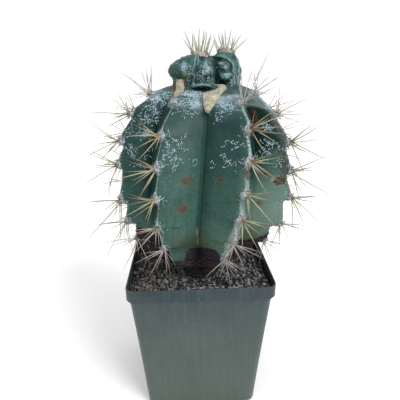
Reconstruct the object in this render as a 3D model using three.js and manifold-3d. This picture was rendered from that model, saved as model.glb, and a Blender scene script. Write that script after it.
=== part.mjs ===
// A potted monk's hood cactus with a lobed, monstrose head: a square nursery pot, granular soil,
// and a ribbed stem whose rib crests carry wool and spines.
// Millimetres, +Z up. The origin is the middle of the pot's underside, and the plant's front faces -Y.
import * as THREE from "three";
import { LoftGeometry } from "three/addons/geometries/LoftGeometry.js";
import { mergeVertices } from "three/addons/utils/BufferGeometryUtils.js";
import Module from "manifold-3d";

const wasm = await Module();
wasm.setup();

// Clearance between neighbouring pieces
const GAP = 0.3;

// Pot
const POT_HEIGHT = 138;
const RIM_HALF = 65;
const LIP_HEIGHT = 12;
const LIP_STEP = 2.5;
const WALL = 1.5;
const FLOOR = 2.5;
const TAPER = 0.083;
const POT_CORNER = 8;
const DRAIN_RADIUS = 5;
const DRAIN_PLACE = 31;

// Soil, with a plain hole for the neck: its steps from the soil's top, and the room round the neck
const SOIL_DROP = 8;
const SOIL_TOP = POT_HEIGHT - SOIL_DROP;
const GRAIN_RELIEF = 1.5;
const SOIL_RINGS = 9;
const SOIL_SIDES = 60;
const HOLE_SIDES = 32;
const HOLE_MOUTH = [[-3, 1], [2, 3.5], [20, 16]];

// Stem: a leaning axis, the crest radius by height, and eight ribs
const AXIS_FOOT = [1.9, -9];
const AXIS_LEAN = [0.055, 0.17];
const STEM_RADIUS = 83;
const WIDEST_Z = POT_HEIGHT + 92;
const APEX_Z = POT_HEIGHT + 164;
const UPPER_POWER = 2.65;
const LOWER_POWERS = [2.2, 0.62];
const FURROW_DEPTH = 0.3;
const LOW_FURROW_DEPTH = 0.42;
const LOW_FURROW_Z = POT_HEIGHT + 45;
const LOW_FURROW_FALL = 20;
const FACE_BULGE = 0.05;
const RIB_FADE_Z = POT_HEIGHT + 18;
const RING_STEP = 4.7;
const RINGS = 49;

// Neck: it stands further forward than the axis, and its rise has no rings of its own
const NECK_RADIUS = 15;
const NECK_DEPTH = 34;
const NECK_TOP_Z = POT_HEIGHT + 4;
const NECK_SHIFT = [0, -9];
const NECK_SHIFT_RISE = 24;
const NECK_RISE = 10.5;

// Ribs: azimuth of the crest in degrees (0 is the front, + is to the right), its slant per mm of
// height, the rings of its areoles, and how far its spines lean sideways at the bottom and at the top
// (+ is to the right)
const RIBS = [
  {
    name: "left_side",
    azimuth: -60.5,
    slant: -0.1,
    areoles: [42, 37, 32, 28, 22, 18, 14],
    sway: [-0.1, -0.15],
  },
  {
    name: "left_front",
    azimuth: -29.6,
    slant: 0,
    areoles: [40, 34, 29, 24, 19, 14],
    sway: [-0.3, -1],
  },
  {
    name: "right_front",
    azimuth: 18.2,
    slant: 0.062,
    areoles: [40, 35, 30, 25, 21, 16, 11],
    sway: [0.2, 0.8],
  },
  {
    name: "right_side",
    azimuth: 54.5,
    slant: -0.19,
    areoles: [37, 32, 27, 22, 16, 11],
    sway: [0.1, 0.15],
  },
  {
    name: "back_right_side",
    azimuth: 112,
    slant: 0.14,
    areoles: [41, 36, 31, 26, 21, 16, 12],
    sway: [0, 0],
  },
  {
    name: "back_right",
    azimuth: 158,
    slant: 0.05,
    areoles: [41, 36, 31, 26, 21, 16, 12],
    sway: [0, 0],
  },
  {
    name: "back_left",
    azimuth: 202,
    slant: 0,
    areoles: [40, 35, 30, 25, 20, 16, 12],
    sway: [0, 0],
  },
  {
    name: "back_left_side",
    azimuth: 247,
    slant: 0,
    areoles: [41, 36, 31, 26, 21, 16, 12],
    sway: [0, 0],
  },
];
const SLANT_PIVOT_Z = POT_HEIGHT + 86;
const SWAY_RINGS = [14, 32];

// The top areole of the left front rib has wool only, and that of the right front rib a higher fan
const BARE_RIB = "left_front";
const FAN = { rib: "right_front", side: 0.35, up: 0.75, reach: 1.25 };
const LONG_SPINES = { rib: "left_side", reach: 1.12 };

// The right side rib ends in a lower, squarer shoulder than the others
const LOW_SHOULDER = { rib: "right_side", apexZ: POT_HEIGHT + 148, power: 5, least: 0.72 };

// Chins: a crest swells just above each areole and steps in below it, more so in the lower half
const CHIN = 2;
const LOW_CHIN = 3.4;
const CHIN_FOOT_Z = NECK_TOP_Z;
const CHIN_RISE = 40;
const CHIN_FALL = 4;
const TOP_FADE = 3;

// Wool on a crest: half width and height on the line, and what each areole adds
const WOOL_HALF_WIDTH = [0.8, 2.4];
const WOOL_HEIGHT = [0.5, 2.3];

// Corky scars that fill the tops of two furrows: heights above the rim, azimuths and half widths in
// degrees at the tip and at the top
const SCARS = [
  { tip: 140, top: 161, tipAzimuth: -3.5, topAzimuth: 4, tipWidth: 1, topWidth: 13 },
  { tip: 152, top: 160, tipAzimuth: -40, topAzimuth: -42, tipWidth: 7, topWidth: 13 },
];
const SCAR_LEVEL = 0.86;

// Head: fused lobes round a centre, each with its own centre, heights above the rim, and half axes
const HEAD = new THREE.Vector3(7.6, 19, POT_HEIGHT + 172);
const LOBE_BLEND = 2.6;
const LOBES = [
  { name: "core", at: [8, 23, 166], half: [22, 21, 18] },
  { name: "left", at: [-13, 14, 173.5], half: [11, 13.5, 8.5] },
  { name: "left_shoulder", at: [-5, 15.5, 177.5], half: [10, 14, 9.7] },
  { name: "left_neck", at: [-12.5, 13, 160], half: [9.5, 11, 10] },
  { name: "middle", at: [6.5, 9, 172.5], half: [8, 13, 13.5] },
  { name: "right", at: [26, 12, 172.5], half: [11.5, 14, 12] },
  { name: "upper_left", at: [3, 20, 179], half: [11, 9, 9] },
  { name: "upper_right", at: [26, 21, 182], half: [11, 10, 8.5] },
  { name: "lower_right", at: [30, 10, 161], half: [8, 9, 8] },
  { name: "right_margin", at: [35, 20, 170], half: [6, 12, 14] },
  { name: "back_left", at: [-7, 31, 172], half: [13, 12, 14] },
  { name: "back_right", at: [22, 33, 172], half: [14, 12, 15] },
  { name: "flap", at: [4.2, -7, 162.3], half: [8.8, 7.5, 2.7] },
];
const HEAD_REACH = 48;
const HEAD_DETAIL = 6;

// Woolly growing bands on the head: where each starts and ends in plan, and its spines
const CROWN_BANDS = [
  { name: "crown_left", from: [-4, 17], to: [12, 20], spines: 12, length: 17, fan: 30 },
  { name: "crown_right", from: [19, 21], to: [35, 19], spines: 9, length: 15, fan: 44 },
];
const BAND_HALF_WIDTH = 3.2;
const BAND_HEIGHT = 2.4;

// Spines of one areole: lean from the outward line and turn about it, in degrees, and length
const SPINES = [
  { lean: 14, turn: 200, length: 33 },
  { lean: 50, turn: 22, length: 25 },
  { lean: 56, turn: 82, length: 27 },
  { lean: 58, turn: 140, length: 27 },
  { lean: 56, turn: 205, length: 26 },
  { lean: 58, turn: 268, length: 28 },
  { lean: 50, turn: 328, length: 25 },
];
const SPINE_RADIUS = 0.65;
const SPINE_SIDES = 3;
const SPINE_CLEAR = 1.6;
const SPINE_SHARES = [1, 0.8, 0.6];
const MOST_LIFT = 1.6;

const GREEN = new THREE.MeshStandardMaterial({ color: 0x2f6252, roughness: 0.55, metalness: 0 });
const STRAW = new THREE.MeshStandardMaterial({ color: 0xb9a477, roughness: 0.7, metalness: 0 });
const SLATE = new THREE.MeshStandardMaterial({ color: 0x46545a, roughness: 0.5, metalness: 0 });
const GRIT = new THREE.MeshStandardMaterial({ color: 0x5f5852, roughness: 0.95, metalness: 0 });

const radians = THREE.MathUtils.degToRad;
const lerp = THREE.MathUtils.lerp;
const clamp = THREE.MathUtils.clamp;

// A repeatable draw between -1 and 1 from whole numbers
function draw(a, b, c) {
  const wave = Math.sin(a * 127.1 + b * 311.7 + c * 74.7) * 43758.5453;
  return 2 * (wave - Math.floor(wave)) - 1;
}

// Closed geometry to solid and back, for joins and cuts
function solid(geometry) {
  geometry.deleteAttribute("normal");
  geometry.deleteAttribute("uv");
  const merged = mergeVertices(geometry, 1e-4);
  const mesh = new wasm.Mesh({
    numProp: 3,
    vertProperties: merged.attributes.position.array,
    triVerts: new Uint32Array(merged.index.array),
  });
  return new wasm.Manifold(mesh);
}

function geometryOf(made) {
  const mesh = made.getMesh();
  const geometry = new THREE.BufferGeometry();
  geometry.setAttribute("position", new THREE.BufferAttribute(mesh.vertProperties, 3));
  geometry.setIndex(new THREE.BufferAttribute(mesh.triVerts, 1));
  geometry.computeVertexNormals();
  return geometry;
}

// Loft through rings of points, closed at both ends
function closedLoft(rings) {
  return new LoftGeometry(rings, { closed: true, capStart: true, capEnd: true });
}

// Counterclockwise ring of a square with round corners
function squareRing(half, corner, z, perCorner = 4) {
  const ring = [];
  for (let side = 0; side < 4; side += 1) {
    const turn = (side * Math.PI) / 2;
    for (let i = 0; i <= perCorner; i += 1) {
      const angle = turn + (i / perCorner) * (Math.PI / 2);
      const cx = (half - corner) * (Math.cos(turn) - Math.sin(turn));
      const cy = (half - corner) * (Math.sin(turn) + Math.cos(turn));
      ring.push(new THREE.Vector3(cx + corner * Math.cos(angle), cy + corner * Math.sin(angle), z));
    }
  }
  return ring;
}

// The same square with its points at even angles
function evenSquareRing(half, corner, z, sides) {
  const ring = [];
  for (let i = 0; i < sides; i += 1) {
    const angle = (i / sides) * 2 * Math.PI;
    const way = new THREE.Vector2(Math.cos(angle), Math.sin(angle));
    const longer = Math.max(Math.abs(way.x), Math.abs(way.y));
    const shorter = Math.min(Math.abs(way.x), Math.abs(way.y));
    let reach = half / longer;
    if (reach * shorter > half - corner) {
      const along = (half - corner) * (longer + shorter);
      reach = along + Math.sqrt(along ** 2 - 2 * (half - corner) ** 2 + corner ** 2);
    }
    ring.push(new THREE.Vector3(reach * way.x, reach * way.y, z));
  }
  return ring;
}

// Half width of the pot's outside at a height below the lip
function potHalf(z) {
  return RIM_HALF - LIP_STEP - TAPER * (POT_HEIGHT - LIP_HEIGHT - z);
}

function makePot() {
  const lipZ = POT_HEIGHT - LIP_HEIGHT;
  const ledgeZ = lipZ + WALL;
  const innerCorner = POT_CORNER - WALL;
  const outside = solid(closedLoft([
    squareRing(potHalf(0) - 1, POT_CORNER - 1, 0),
    squareRing(potHalf(0), POT_CORNER, 1),
    squareRing(potHalf(lipZ), POT_CORNER, lipZ),
    squareRing(RIM_HALF, POT_CORNER + 1, lipZ + 0.6),
    squareRing(RIM_HALF, POT_CORNER + 1, POT_HEIGHT),
  ]));
  const inside = solid(closedLoft([
    squareRing(potHalf(FLOOR) - WALL, innerCorner, FLOOR),
    squareRing(potHalf(ledgeZ) - WALL, innerCorner, ledgeZ),
    squareRing(RIM_HALF - WALL, innerCorner + 1, ledgeZ + 0.6),
    squareRing(RIM_HALF - WALL, innerCorner + 1, POT_HEIGHT + 1),
  ]));
  let pot = outside.subtract(inside);
  for (const x of [-DRAIN_PLACE, DRAIN_PLACE]) {
    for (const y of [-DRAIN_PLACE, DRAIN_PLACE]) {
      const drain = new THREE.CylinderGeometry(DRAIN_RADIUS, DRAIN_RADIUS, 4 * FLOOR, 12);
      drain.rotateX(Math.PI / 2);
      drain.translate(x, y, 0);
      pot = pot.subtract(solid(drain));
    }
  }
  return geometryOf(pot);
}

// Axis of the stem at a height
function axisAt(z) {
  const shift = clamp((NECK_TOP_Z + NECK_SHIFT_RISE - z) / NECK_SHIFT_RISE, 0, 1);
  return AXIS_FOOT.map((foot, i) => foot + AXIS_LEAN[i] * (z - SOIL_TOP) + NECK_SHIFT[i] * shift);
}

// Crest radius by height, without the swellings
function crestCurve(z) {
  if (z >= WIDEST_Z) {
    const up = clamp((z - WIDEST_Z) / (APEX_Z - WIDEST_Z), 0, 1);
    return STEM_RADIUS * (1 - up ** UPPER_POWER) ** (1 / UPPER_POWER);
  }
  const down = clamp((WIDEST_Z - z) / (WIDEST_Z - NECK_TOP_Z), 0, 1);
  const swell = (1 - down ** LOWER_POWERS[0]) ** LOWER_POWERS[1];
  const buried = clamp((SOIL_TOP - z) / NECK_DEPTH, 0, 1);
  const neck = NECK_RADIUS * Math.sqrt(1 - buried ** 2);
  return neck + (STEM_RADIUS - NECK_RADIUS) * swell;
}

// Heights at equal steps along the crest curve, from the neck's top to the apex
function ringHeights() {
  const heights = [SOIL_TOP];
  let travelled = -NECK_RISE;
  let z = SOIL_TOP;
  const step = 0.01;
  while (heights.length < RINGS && z < APEX_Z - step) {
    travelled += Math.hypot(step, crestCurve(z + step) - crestCurve(z));
    z += step;
    if (travelled >= heights.length * RING_STEP) heights.push(z);
  }
  return heights;
}

const HEIGHTS = ringHeights();

// Position of a height on the crest curve, counted in rings
function ringIndex(z) {
  let i = 0;
  while (i < HEIGHTS.length - 2 && HEIGHTS[i + 1] < z) i += 1;
  return i + (z - HEIGHTS[i]) / (HEIGHTS[i + 1] - HEIGHTS[i]);
}

// How close a height is to one of a rib's areoles: 1 on it, fading over some millimetres
function nearness(rib, z, spread) {
  const index = ringIndex(z);
  const away = Math.min(...rib.areoles.map((ring) => Math.abs(index - ring)));
  return Math.exp(-(((away * RING_STEP) / spread) ** 2));
}

// Wave of the crest between two areoles: 1 on an areole, -1 a step below it
function chin(rib, z) {
  const index = ringIndex(z);
  const above = rib.areoles.filter((ring) => ring > index).pop();
  const below = rib.areoles.find((ring) => ring <= index);
  if (above === undefined) return Math.max(1 - (index - rib.areoles[0]) / TOP_FADE, 0);
  const gap = below === undefined ? CHIN_FALL + 1 : above - below;
  const share = 1 - (above - index) / gap;
  const turn = 1 - 1 / gap;
  if (share < turn) return Math.cos((Math.PI * Math.max(share, 0)) / turn);
  return -Math.cos((Math.PI * (share - turn)) / (1 - turn));
}

function crestAzimuth(rib, z) {
  const lift = clamp(z, RIB_FADE_Z, APEX_Z) - SLANT_PIVOT_Z;
  return radians(rib.azimuth + rib.slant * lift);
}

// 1 where the ribs are full, 0 where the neck is round
function ribbing(z) {
  return clamp((z - NECK_TOP_Z + 1) / (RIB_FADE_Z - NECK_TOP_Z), 0, 1) ** 0.7;
}

function crestRadius(rib, z) {
  const lower = clamp((WIDEST_Z - z) / CHIN_RISE, 0, 1);
  const started = Math.sqrt(clamp((z - CHIN_FOOT_Z) / CHIN_RISE, 0, 1));
  const swell = lerp(CHIN, LOW_CHIN, lower) * chin(rib, z) * started;
  if (rib.name !== LOW_SHOULDER.rib || z < WIDEST_Z) return crestCurve(z) + swell;
  const up = clamp((z - WIDEST_Z) / (LOW_SHOULDER.apexZ - WIDEST_Z), 0, 1);
  const squarer = STEM_RADIUS * (1 - up ** LOW_SHOULDER.power) ** (1 / LOW_SHOULDER.power);
  const own = Math.min(squarer, crestCurve(z) + CHIN);
  return Math.max(own + swell, LOW_SHOULDER.least * crestCurve(z));
}

// How far a corky scar fills a furrow at a height and azimuth: 0 none, 1 full
function scarFill(azimuth, z) {
  let fill = 0;
  for (const scar of SCARS) {
    const rise = (z - POT_HEIGHT - scar.tip) / (scar.top - scar.tip);
    if (rise <= 0) continue;
    const share = Math.min(rise, 1);
    const centre = radians(lerp(scar.tipAzimuth, scar.topAzimuth, share ** 2));
    const width = radians(lerp(scar.tipWidth, scar.topWidth, share ** 1.2));
    const off = Math.abs(azimuth - centre) / width;
    fill = Math.max(fill, clamp(1.5 - off, 0, 1) * clamp(rise * 4, 0, 1));
  }
  return fill;
}

// Point of the stem's skin between two crests: along runs from 0 at the first crest to 1 at the
// furrow and 2 at the next crest
function skinPoint(first, second, along, z) {
  const [cx, cy] = axisAt(z);
  const a0 = crestAzimuth(first, z);
  let a1 = crestAzimuth(second, z);
  if (a1 < a0) a1 += 2 * Math.PI;
  const side = along <= 1 ? 0 : 1;
  const near = side === 0 ? a0 : a1;
  const rib = side === 0 ? first : second;
  const s = side === 0 ? along : 2 - along;
  const valley = (a0 + a1) / 2;
  const full = ribbing(z);
  const rc = crestRadius(rib, z);
  const lower = clamp((LOW_FURROW_Z - z) / LOW_FURROW_FALL, 0, 1);
  const furrow = crestCurve(z) * (1 - lerp(FURROW_DEPTH, LOW_FURROW_DEPTH, lower) * full);
  const crest = new THREE.Vector2(rc * Math.sin(near), -rc * Math.cos(near));
  const deep = new THREE.Vector2(furrow * Math.sin(valley), -furrow * Math.cos(valley));
  const face = deep.clone().sub(crest);
  const out = new THREE.Vector2(face.y, -face.x).normalize();
  if (out.dot(crest) < 0) out.negate();
  const flat = crest.clone().lerp(deep, s);
  flat.addScaledVector(out, FACE_BULGE * crestCurve(z) * 4 * s * (1 - s) * full);
  const angle = lerp(near, valley, s);
  const round = new THREE.Vector2(Math.sin(angle), -Math.cos(angle));
  const level = lerp(rc, furrow, s);
  const point = round.multiplyScalar(level).lerp(flat, full);
  const azimuth = Math.atan2(point.x, -point.y);
  const radius = point.length();
  const filled = Math.max(radius, SCAR_LEVEL * crestCurve(z));
  const scale = lerp(radius, filled, scarFill(azimuth, z)) / radius;
  return new THREE.Vector3(cx + point.x * scale, cy + point.y * scale, z);
}

// Share of a face that lies under the wool, from the crest
function woolShare(rib, z) {
  const half = WOOL_HALF_WIDTH[0] + WOOL_HALF_WIDTH[1] * nearness(rib, z, 4);
  return clamp(half / (0.42 * crestCurve(z)), 0, 0.6);
}

// One ring of the stem: crest, edge of the wool, middle of the face and furrow, rib by rib
function stemRing(z) {
  const ring = [];
  for (let k = 0; k < RIBS.length; k += 1) {
    const first = RIBS[k];
    const second = RIBS[(k + 1) % RIBS.length];
    const start = woolShare(first, z);
    const end = 2 - woolShare(second, z);
    for (const along of [0, start, (start + 1) / 2, 1, (end + 1) / 2, end]) {
      ring.push(skinPoint(first, second, along, z));
    }
  }
  return ring;
}

function makeStem() {
  const buried = [1, 0.94, 0.75, 0.4].map((share) => SOIL_TOP - share * NECK_DEPTH + 0.4);
  const rings = [...buried, SOIL_TOP, NECK_TOP_Z, ...HEIGHTS.slice(1)].map(stemRing);
  return closedLoft(rings);
}

// Signed field of the head: below 0 inside
function headField(point) {
  let value = Infinity;
  for (const lobe of LOBES) {
    const dx = (point.x - lobe.at[0]) / lobe.half[0];
    const dy = (point.y - lobe.at[1]) / lobe.half[1];
    const dz = (point.z - POT_HEIGHT - lobe.at[2]) / lobe.half[2];
    const size = Math.min(...lobe.half);
    const field = (Math.hypot(dx, dy, dz) - 1) * size;
    const blend = Math.max(LOBE_BLEND - Math.abs(value - field), 0) / LOBE_BLEND;
    const joined = Number.isFinite(value) ? (blend * blend * LOBE_BLEND) / 4 : 0;
    value = Math.min(value, field) - joined;
  }
  return value;
}

// Distance from the head's centre to its skin along a direction
function headRadius(direction) {
  const at = (r) => headField(HEAD.clone().addScaledVector(direction, r));
  let outer = HEAD_REACH;
  while (outer > 1 && at(outer) > 0) outer -= 0.5;
  let inner = outer;
  outer += 0.5;
  for (let i = 0; i < 12; i += 1) {
    const middle = (inner + outer) / 2;
    if (at(middle) > 0) outer = middle;
    else inner = middle;
  }
  return inner;
}

function makeHead(swell = 0) {
  const geometry = new THREE.IcosahedronGeometry(1, HEAD_DETAIL);
  const position = geometry.getAttribute("position");
  const direction = new THREE.Vector3();
  for (let i = 0; i < position.count; i += 1) {
    direction.fromBufferAttribute(position, i).normalize();
    const skin = HEAD.clone().addScaledVector(direction, headRadius(direction) + swell);
    position.setXYZ(i, skin.x, skin.y, skin.z);
  }
  return geometry;
}

// Height of the head's skin over a point in plan
function headTop(x, y) {
  let z = HEAD.z + HEAD_REACH;
  while (z > HEAD.z && headField(new THREE.Vector3(x, y, z)) > 0) z -= 0.1;
  return z;
}

// Radius of the stem's skin about its axis, at a height and azimuth
function skinRadius(azimuth, z) {
  const [cx, cy] = axisAt(z);
  const ring = stemRing(clamp(z, SOIL_TOP - NECK_DEPTH, APEX_Z - 0.5));
  const full = 2 * Math.PI;
  let widest = 0;
  for (let i = 0; i < ring.length; i += 1) {
    const a = ring[i];
    const b = ring[(i + 1) % ring.length];
    const angleA = Math.atan2(a.x - cx, -(a.y - cy));
    const span = (Math.atan2(b.x - cx, -(b.y - cy)) - angleA + full) % full;
    const into = (azimuth - angleA + 2 * full) % full;
    if (into > span || span > Math.PI) continue;
    const share = into / span;
    const ra = Math.hypot(a.x - cx, a.y - cy);
    const rb = Math.hypot(b.x - cx, b.y - cy);
    widest = Math.max(widest, lerp(ra, rb, share));
  }
  return widest;
}

// True where a point keeps clear of the stem, the head, the soil and the pot
function isClear(point) {
  const [cx, cy] = axisAt(point.z);
  const reach = Math.hypot(point.x - cx, point.y - cy);
  const azimuth = Math.atan2(point.x - cx, -(point.y - cy));
  if (point.z < APEX_Z && reach < skinRadius(azimuth, point.z) + SPINE_CLEAR) return false;
  const fromHead = point.clone().sub(HEAD);
  const distance = fromHead.length();
  if (distance < HEAD_REACH && distance < headRadius(fromHead.normalize()) + SPINE_CLEAR) return false;
  const outward = Math.max(Math.abs(point.x), Math.abs(point.y));
  const floorZ = outward > RIM_HALF - 4 ? POT_HEIGHT + 1.5 : SOIL_TOP + 3;
  return point.z > floorZ;
}

// Shortest distance between two straight spines
function spineDistance(one, two) {
  const steps = 12;
  let least = Infinity;
  const a = new THREE.Vector3();
  const b = new THREE.Vector3();
  const line = new THREE.Line3(two.root, two.tip);
  for (let i = 0; i <= steps; i += 1) {
    a.lerpVectors(one.root, one.tip, i / steps);
    line.closestPointToPoint(a, true, b);
    least = Math.min(least, a.distanceTo(b));
  }
  return least;
}

const placedSpines = [];

// A spine that clears everything: it stands up step by step, then gets shorter, or is left out
function fitSpine(owner, root, outward, sideways, length) {
  const firstSample = 5;
  for (const share of SPINE_SHARES) {
    for (let lift = 0; lift < MOST_LIFT; lift += 0.25) {
      const direction = sideways.clone().addScaledVector(outward, lift).normalize();
      const spine = { owner, root, direction, length: length * share };
      spine.tip = root.clone().addScaledVector(direction, spine.length);
      let clear = true;
      for (let t = firstSample; t <= spine.length && clear; t += 2) {
        clear = isClear(root.clone().addScaledVector(direction, t));
      }
      const others = placedSpines.filter((other) => other.owner !== owner);
      clear = clear && isClear(spine.tip);
      clear = clear && others.every((other) => spineDistance(spine, other) > 2 * SPINE_CLEAR);
      if (clear) return spine;
    }
  }
  return null;
}

function spineSolid(spine) {
  const cone = new THREE.ConeGeometry(SPINE_RADIUS, spine.length, SPINE_SIDES);
  cone.translate(0, spine.length / 2, 0);
  const turn = new THREE.Quaternion();
  turn.setFromUnitVectors(new THREE.Vector3(0, 1, 0), spine.direction);
  cone.applyQuaternion(turn);
  cone.translate(spine.root.x, spine.root.y, spine.root.z);
  return solid(cone);
}

// Outward, upward and sideways directions on a rib's crest
function crestFrame(rib, ring) {
  const low = crestPoint(rib, HEIGHTS[ring - 1]);
  const high = crestPoint(rib, HEIGHTS[ring + 1]);
  const up = high.sub(low).normalize();
  const azimuth = crestAzimuth(rib, HEIGHTS[ring]);
  const side = new THREE.Vector3(Math.cos(azimuth), Math.sin(azimuth), 0);
  const out = new THREE.Vector3().crossVectors(side, up).normalize();
  side.crossVectors(up, out);
  return { out, up, side };
}

function crestPoint(rib, z) {
  const [cx, cy] = axisAt(z);
  const azimuth = crestAzimuth(rib, z);
  const radius = crestRadius(rib, z);
  return new THREE.Vector3(cx + radius * Math.sin(azimuth), cy - radius * Math.cos(azimuth), z);
}

// Wool along one crest: a cap over the rib's edge that swells into a cushion at each areole
function woolStrip(index) {
  const rib = RIBS[index];
  const before = RIBS[(index + RIBS.length - 1) % RIBS.length];
  const after = RIBS[(index + 1) % RIBS.length];
  const rings = [];
  for (let i = rib.areoles[0] + 2; i >= rib.areoles.at(-1) - 1; i -= 1) {
    const z = HEIGHTS[i];
    const share = woolShare(rib, z);
    const { out, side } = crestFrame(rib, i);
    const height = WOOL_HEIGHT[0] + WOOL_HEIGHT[1] * nearness(rib, z, 3.6);
    const left = skinPoint(before, rib, 2 - share, z);
    const right = skinPoint(rib, after, share, z);
    const crest = crestPoint(rib, z);
    const half = left.distanceTo(right) / 2;
    rings.push([
      left.addScaledVector(out, GAP).addScaledVector(side, -GAP),
      crest.clone().addScaledVector(out, GAP),
      right.addScaledVector(out, GAP).addScaledVector(side, GAP),
      crest.clone().addScaledVector(out, GAP + height).addScaledVector(side, 0.5 * half),
      crest.clone().addScaledVector(out, GAP + height).addScaledVector(side, -0.5 * half),
    ]);
  }
  return solid(closedLoft(rings));
}

function makeRibSpines(index) {
  const rib = RIBS[index];
  let body = woolStrip(index);
  for (const ring of rib.areoles) {
    if (rib.name === BARE_RIB && ring === rib.areoles[0]) continue;
    const { out, up, side } = crestFrame(rib, ring);
    const root = crestPoint(rib, HEIGHTS[ring]).addScaledVector(out, GAP + 1.2);
    const rise = clamp((ring - SWAY_RINGS[0]) / (SWAY_RINGS[1] - SWAY_RINGS[0]), 0, 1);
    const isFan = rib.name === FAN.rib && ring === rib.areoles[0];
    const sway = isFan ? FAN.side : lerp(rib.sway[0], rib.sway[1], rise);
    const reach = isFan ? FAN.reach : rib.name === LONG_SPINES.rib ? LONG_SPINES.reach : 1;
    SPINES.forEach((kind, j) => {
      const lean = radians(kind.lean + 9 * draw(index, ring, j));
      const turn = radians(kind.turn + 14 * draw(ring, j, index));
      const size = lerp(0.72, 1, clamp(Math.min(ring - 4, RINGS - 3 - ring) / 16, 0, 1));
      const length = kind.length * reach * size * (1 + 0.16 * draw(j, index, ring));
      const sideways = out.clone().multiplyScalar(Math.cos(lean));
      sideways.addScaledVector(up, Math.sin(lean) * Math.cos(turn) + (isFan ? FAN.up : 0));
      sideways.addScaledVector(side, Math.sin(lean) * Math.sin(turn) + sway);
      const spine = fitSpine(rib.name, root, out, sideways.normalize(), length);
      if (!spine) return;
      placedSpines.push(spine);
      body = body.add(spineSolid(spine));
    });
  }
  return geometryOf(body);
}

// Band of wool over the head's top, cut back to clear the head, with a row of upright spines
function makeCrownBand(band, clearHead) {
  const steps = 6;
  const rings = [];
  const along = new THREE.Vector3(band.to[0] - band.from[0], band.to[1] - band.from[1], 0).normalize();
  const across = new THREE.Vector3(-along.y, along.x, 0);
  for (let i = 0; i <= steps; i += 1) {
    const t = i / steps;
    const x = lerp(band.from[0], band.to[0], t);
    const y = lerp(band.from[1], band.to[1], t);
    const middle = new THREE.Vector3(x, y, headTop(x, y));
    const size = 0.45 + 0.55 * Math.sin(Math.PI * clamp(t, 0.04, 0.96)) ** 0.5;
    const ring = [];
    for (let k = 0; k < 8; k += 1) {
      const angle = (k / 8) * 2 * Math.PI;
      const spot = middle.clone();
      spot.addScaledVector(across, BAND_HALF_WIDTH * size * Math.cos(angle));
      spot.z += BAND_HEIGHT * size * Math.sin(angle) + 0.4;
      ring.push(spot);
    }
    rings.push(ring);
  }
  let body = solid(closedLoft(rings)).subtract(clearHead);
  for (let j = 0; j < band.spines; j += 1) {
    const t = (j + 0.5) / band.spines;
    const x = lerp(band.from[0], band.to[0], t);
    const y = lerp(band.from[1], band.to[1], t);
    const root = new THREE.Vector3(x, y, headTop(x, y) + 1.3);
    const lean = radians(band.fan * (2 * t - 1) + 8 * draw(j, 3, band.spines));
    const tip = radians(26 * draw(band.spines, j, 5));
    const direction = new THREE.Vector3(0, 0, Math.cos(lean));
    direction.addScaledVector(along, Math.sin(lean));
    direction.addScaledVector(across, Math.sin(tip)).normalize();
    const length = band.length * (1 + 0.2 * draw(j, band.spines, 9));
    const up = new THREE.Vector3(0, 0, 1);
    const spine = fitSpine(band.name, root, up, direction, length);
    if (!spine) continue;
    placedSpines.push(spine);
    body = body.add(spineSolid(spine));
  }
  return geometryOf(body);
}

// Soil: a block that fills the pot, its grains as relief, with a plain hole for the neck
function makeSoil() {
  const lipZ = POT_HEIGHT - LIP_HEIGHT;
  const ledgeZ = lipZ + WALL;
  const corner = POT_CORNER - WALL;
  const bottom = FLOOR + GAP;
  const below = ledgeZ - GAP;
  const edge = RIM_HALF - WALL - GAP;
  const square = (half, round, z) => evenSquareRing(half, round, z, SOIL_SIDES);
  const rings = [
    square(potHalf(bottom) - WALL - GAP, corner, bottom),
    square(potHalf(below) - WALL - GAP, corner, below),
    square(potHalf(below) - WALL - GAP, corner, ledgeZ + 0.6 + GAP),
    square(edge, corner + 1, ledgeZ + 0.9 + GAP),
  ];
  for (let i = 0; i <= SOIL_RINGS; i += 1) {
    const inward = i / (SOIL_RINGS + 2);
    const half = edge * (1 - inward);
    const ring = square(half, lerp(corner + 1, half, inward), SOIL_TOP);
    const loose = i === 0 ? 0 : 1.1 * (1 - inward);
    ring.forEach((spot, j) => {
      spot.x += loose * draw(i, j, 11);
      spot.y += loose * draw(j, i, 17);
      spot.z += GRAIN_RELIEF * draw(i, j, 23) * (i === 0 ? 0.4 : 1) - 0.6;
    });
    rings.push(ring);
  }
  rings.push(square(2, 1, SOIL_TOP));
  const holeRings = [];
  for (const [rise, room] of [[-NECK_DEPTH - 0.5, 1], ...HOLE_MOUTH]) {
    const ring = [];
    const radius = NECK_RADIUS + room;
    const [cx, cy] = axisAt(SOIL_TOP + Math.min(rise, 0));
    for (let k = 0; k < HOLE_SIDES; k += 1) {
      const angle = (k / HOLE_SIDES) * 2 * Math.PI;
      const x = cx + radius * Math.cos(angle);
      ring.push(new THREE.Vector3(x, cy + radius * Math.sin(angle), SOIL_TOP + rise));
    }
    holeRings.push(ring);
  }
  return geometryOf(solid(closedLoft(rings)).subtract(solid(closedLoft(holeRings))));
}

function named(name, geometry, material) {
  const mesh = new THREE.Mesh(geometry, material);
  mesh.name = name;
  return mesh;
}

const plant = new THREE.Group();
const head = solid(makeHead());
plant.add(named("pot", makePot(), SLATE));
plant.add(named("soil", makeSoil(), GRIT));
plant.add(named("cactus_stem", geometryOf(solid(makeStem()).add(head)), GREEN));
RIBS.forEach((rib, index) => {
  plant.add(named(`spines_${rib.name}`, makeRibSpines(index), STRAW));
});
const clearHead = solid(makeHead(GAP));
for (const band of CROWN_BANDS) {
  plant.add(named(`spines_${band.name}`, makeCrownBand(band, clearHead), STRAW));
}

export default plant;
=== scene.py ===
"""The looks of a potted monk's hood cactus with a lobed, monstrose head.

The solids of the frame give every size and place. Lengths are in millimetres here, with heights
measured from the pot's rim, and become metres from the pot's underside when a mesh is made. +Z is up
and the plant's front faces -Y. Azimuth 0 is the front, + to the right.
"""

import math

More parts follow.
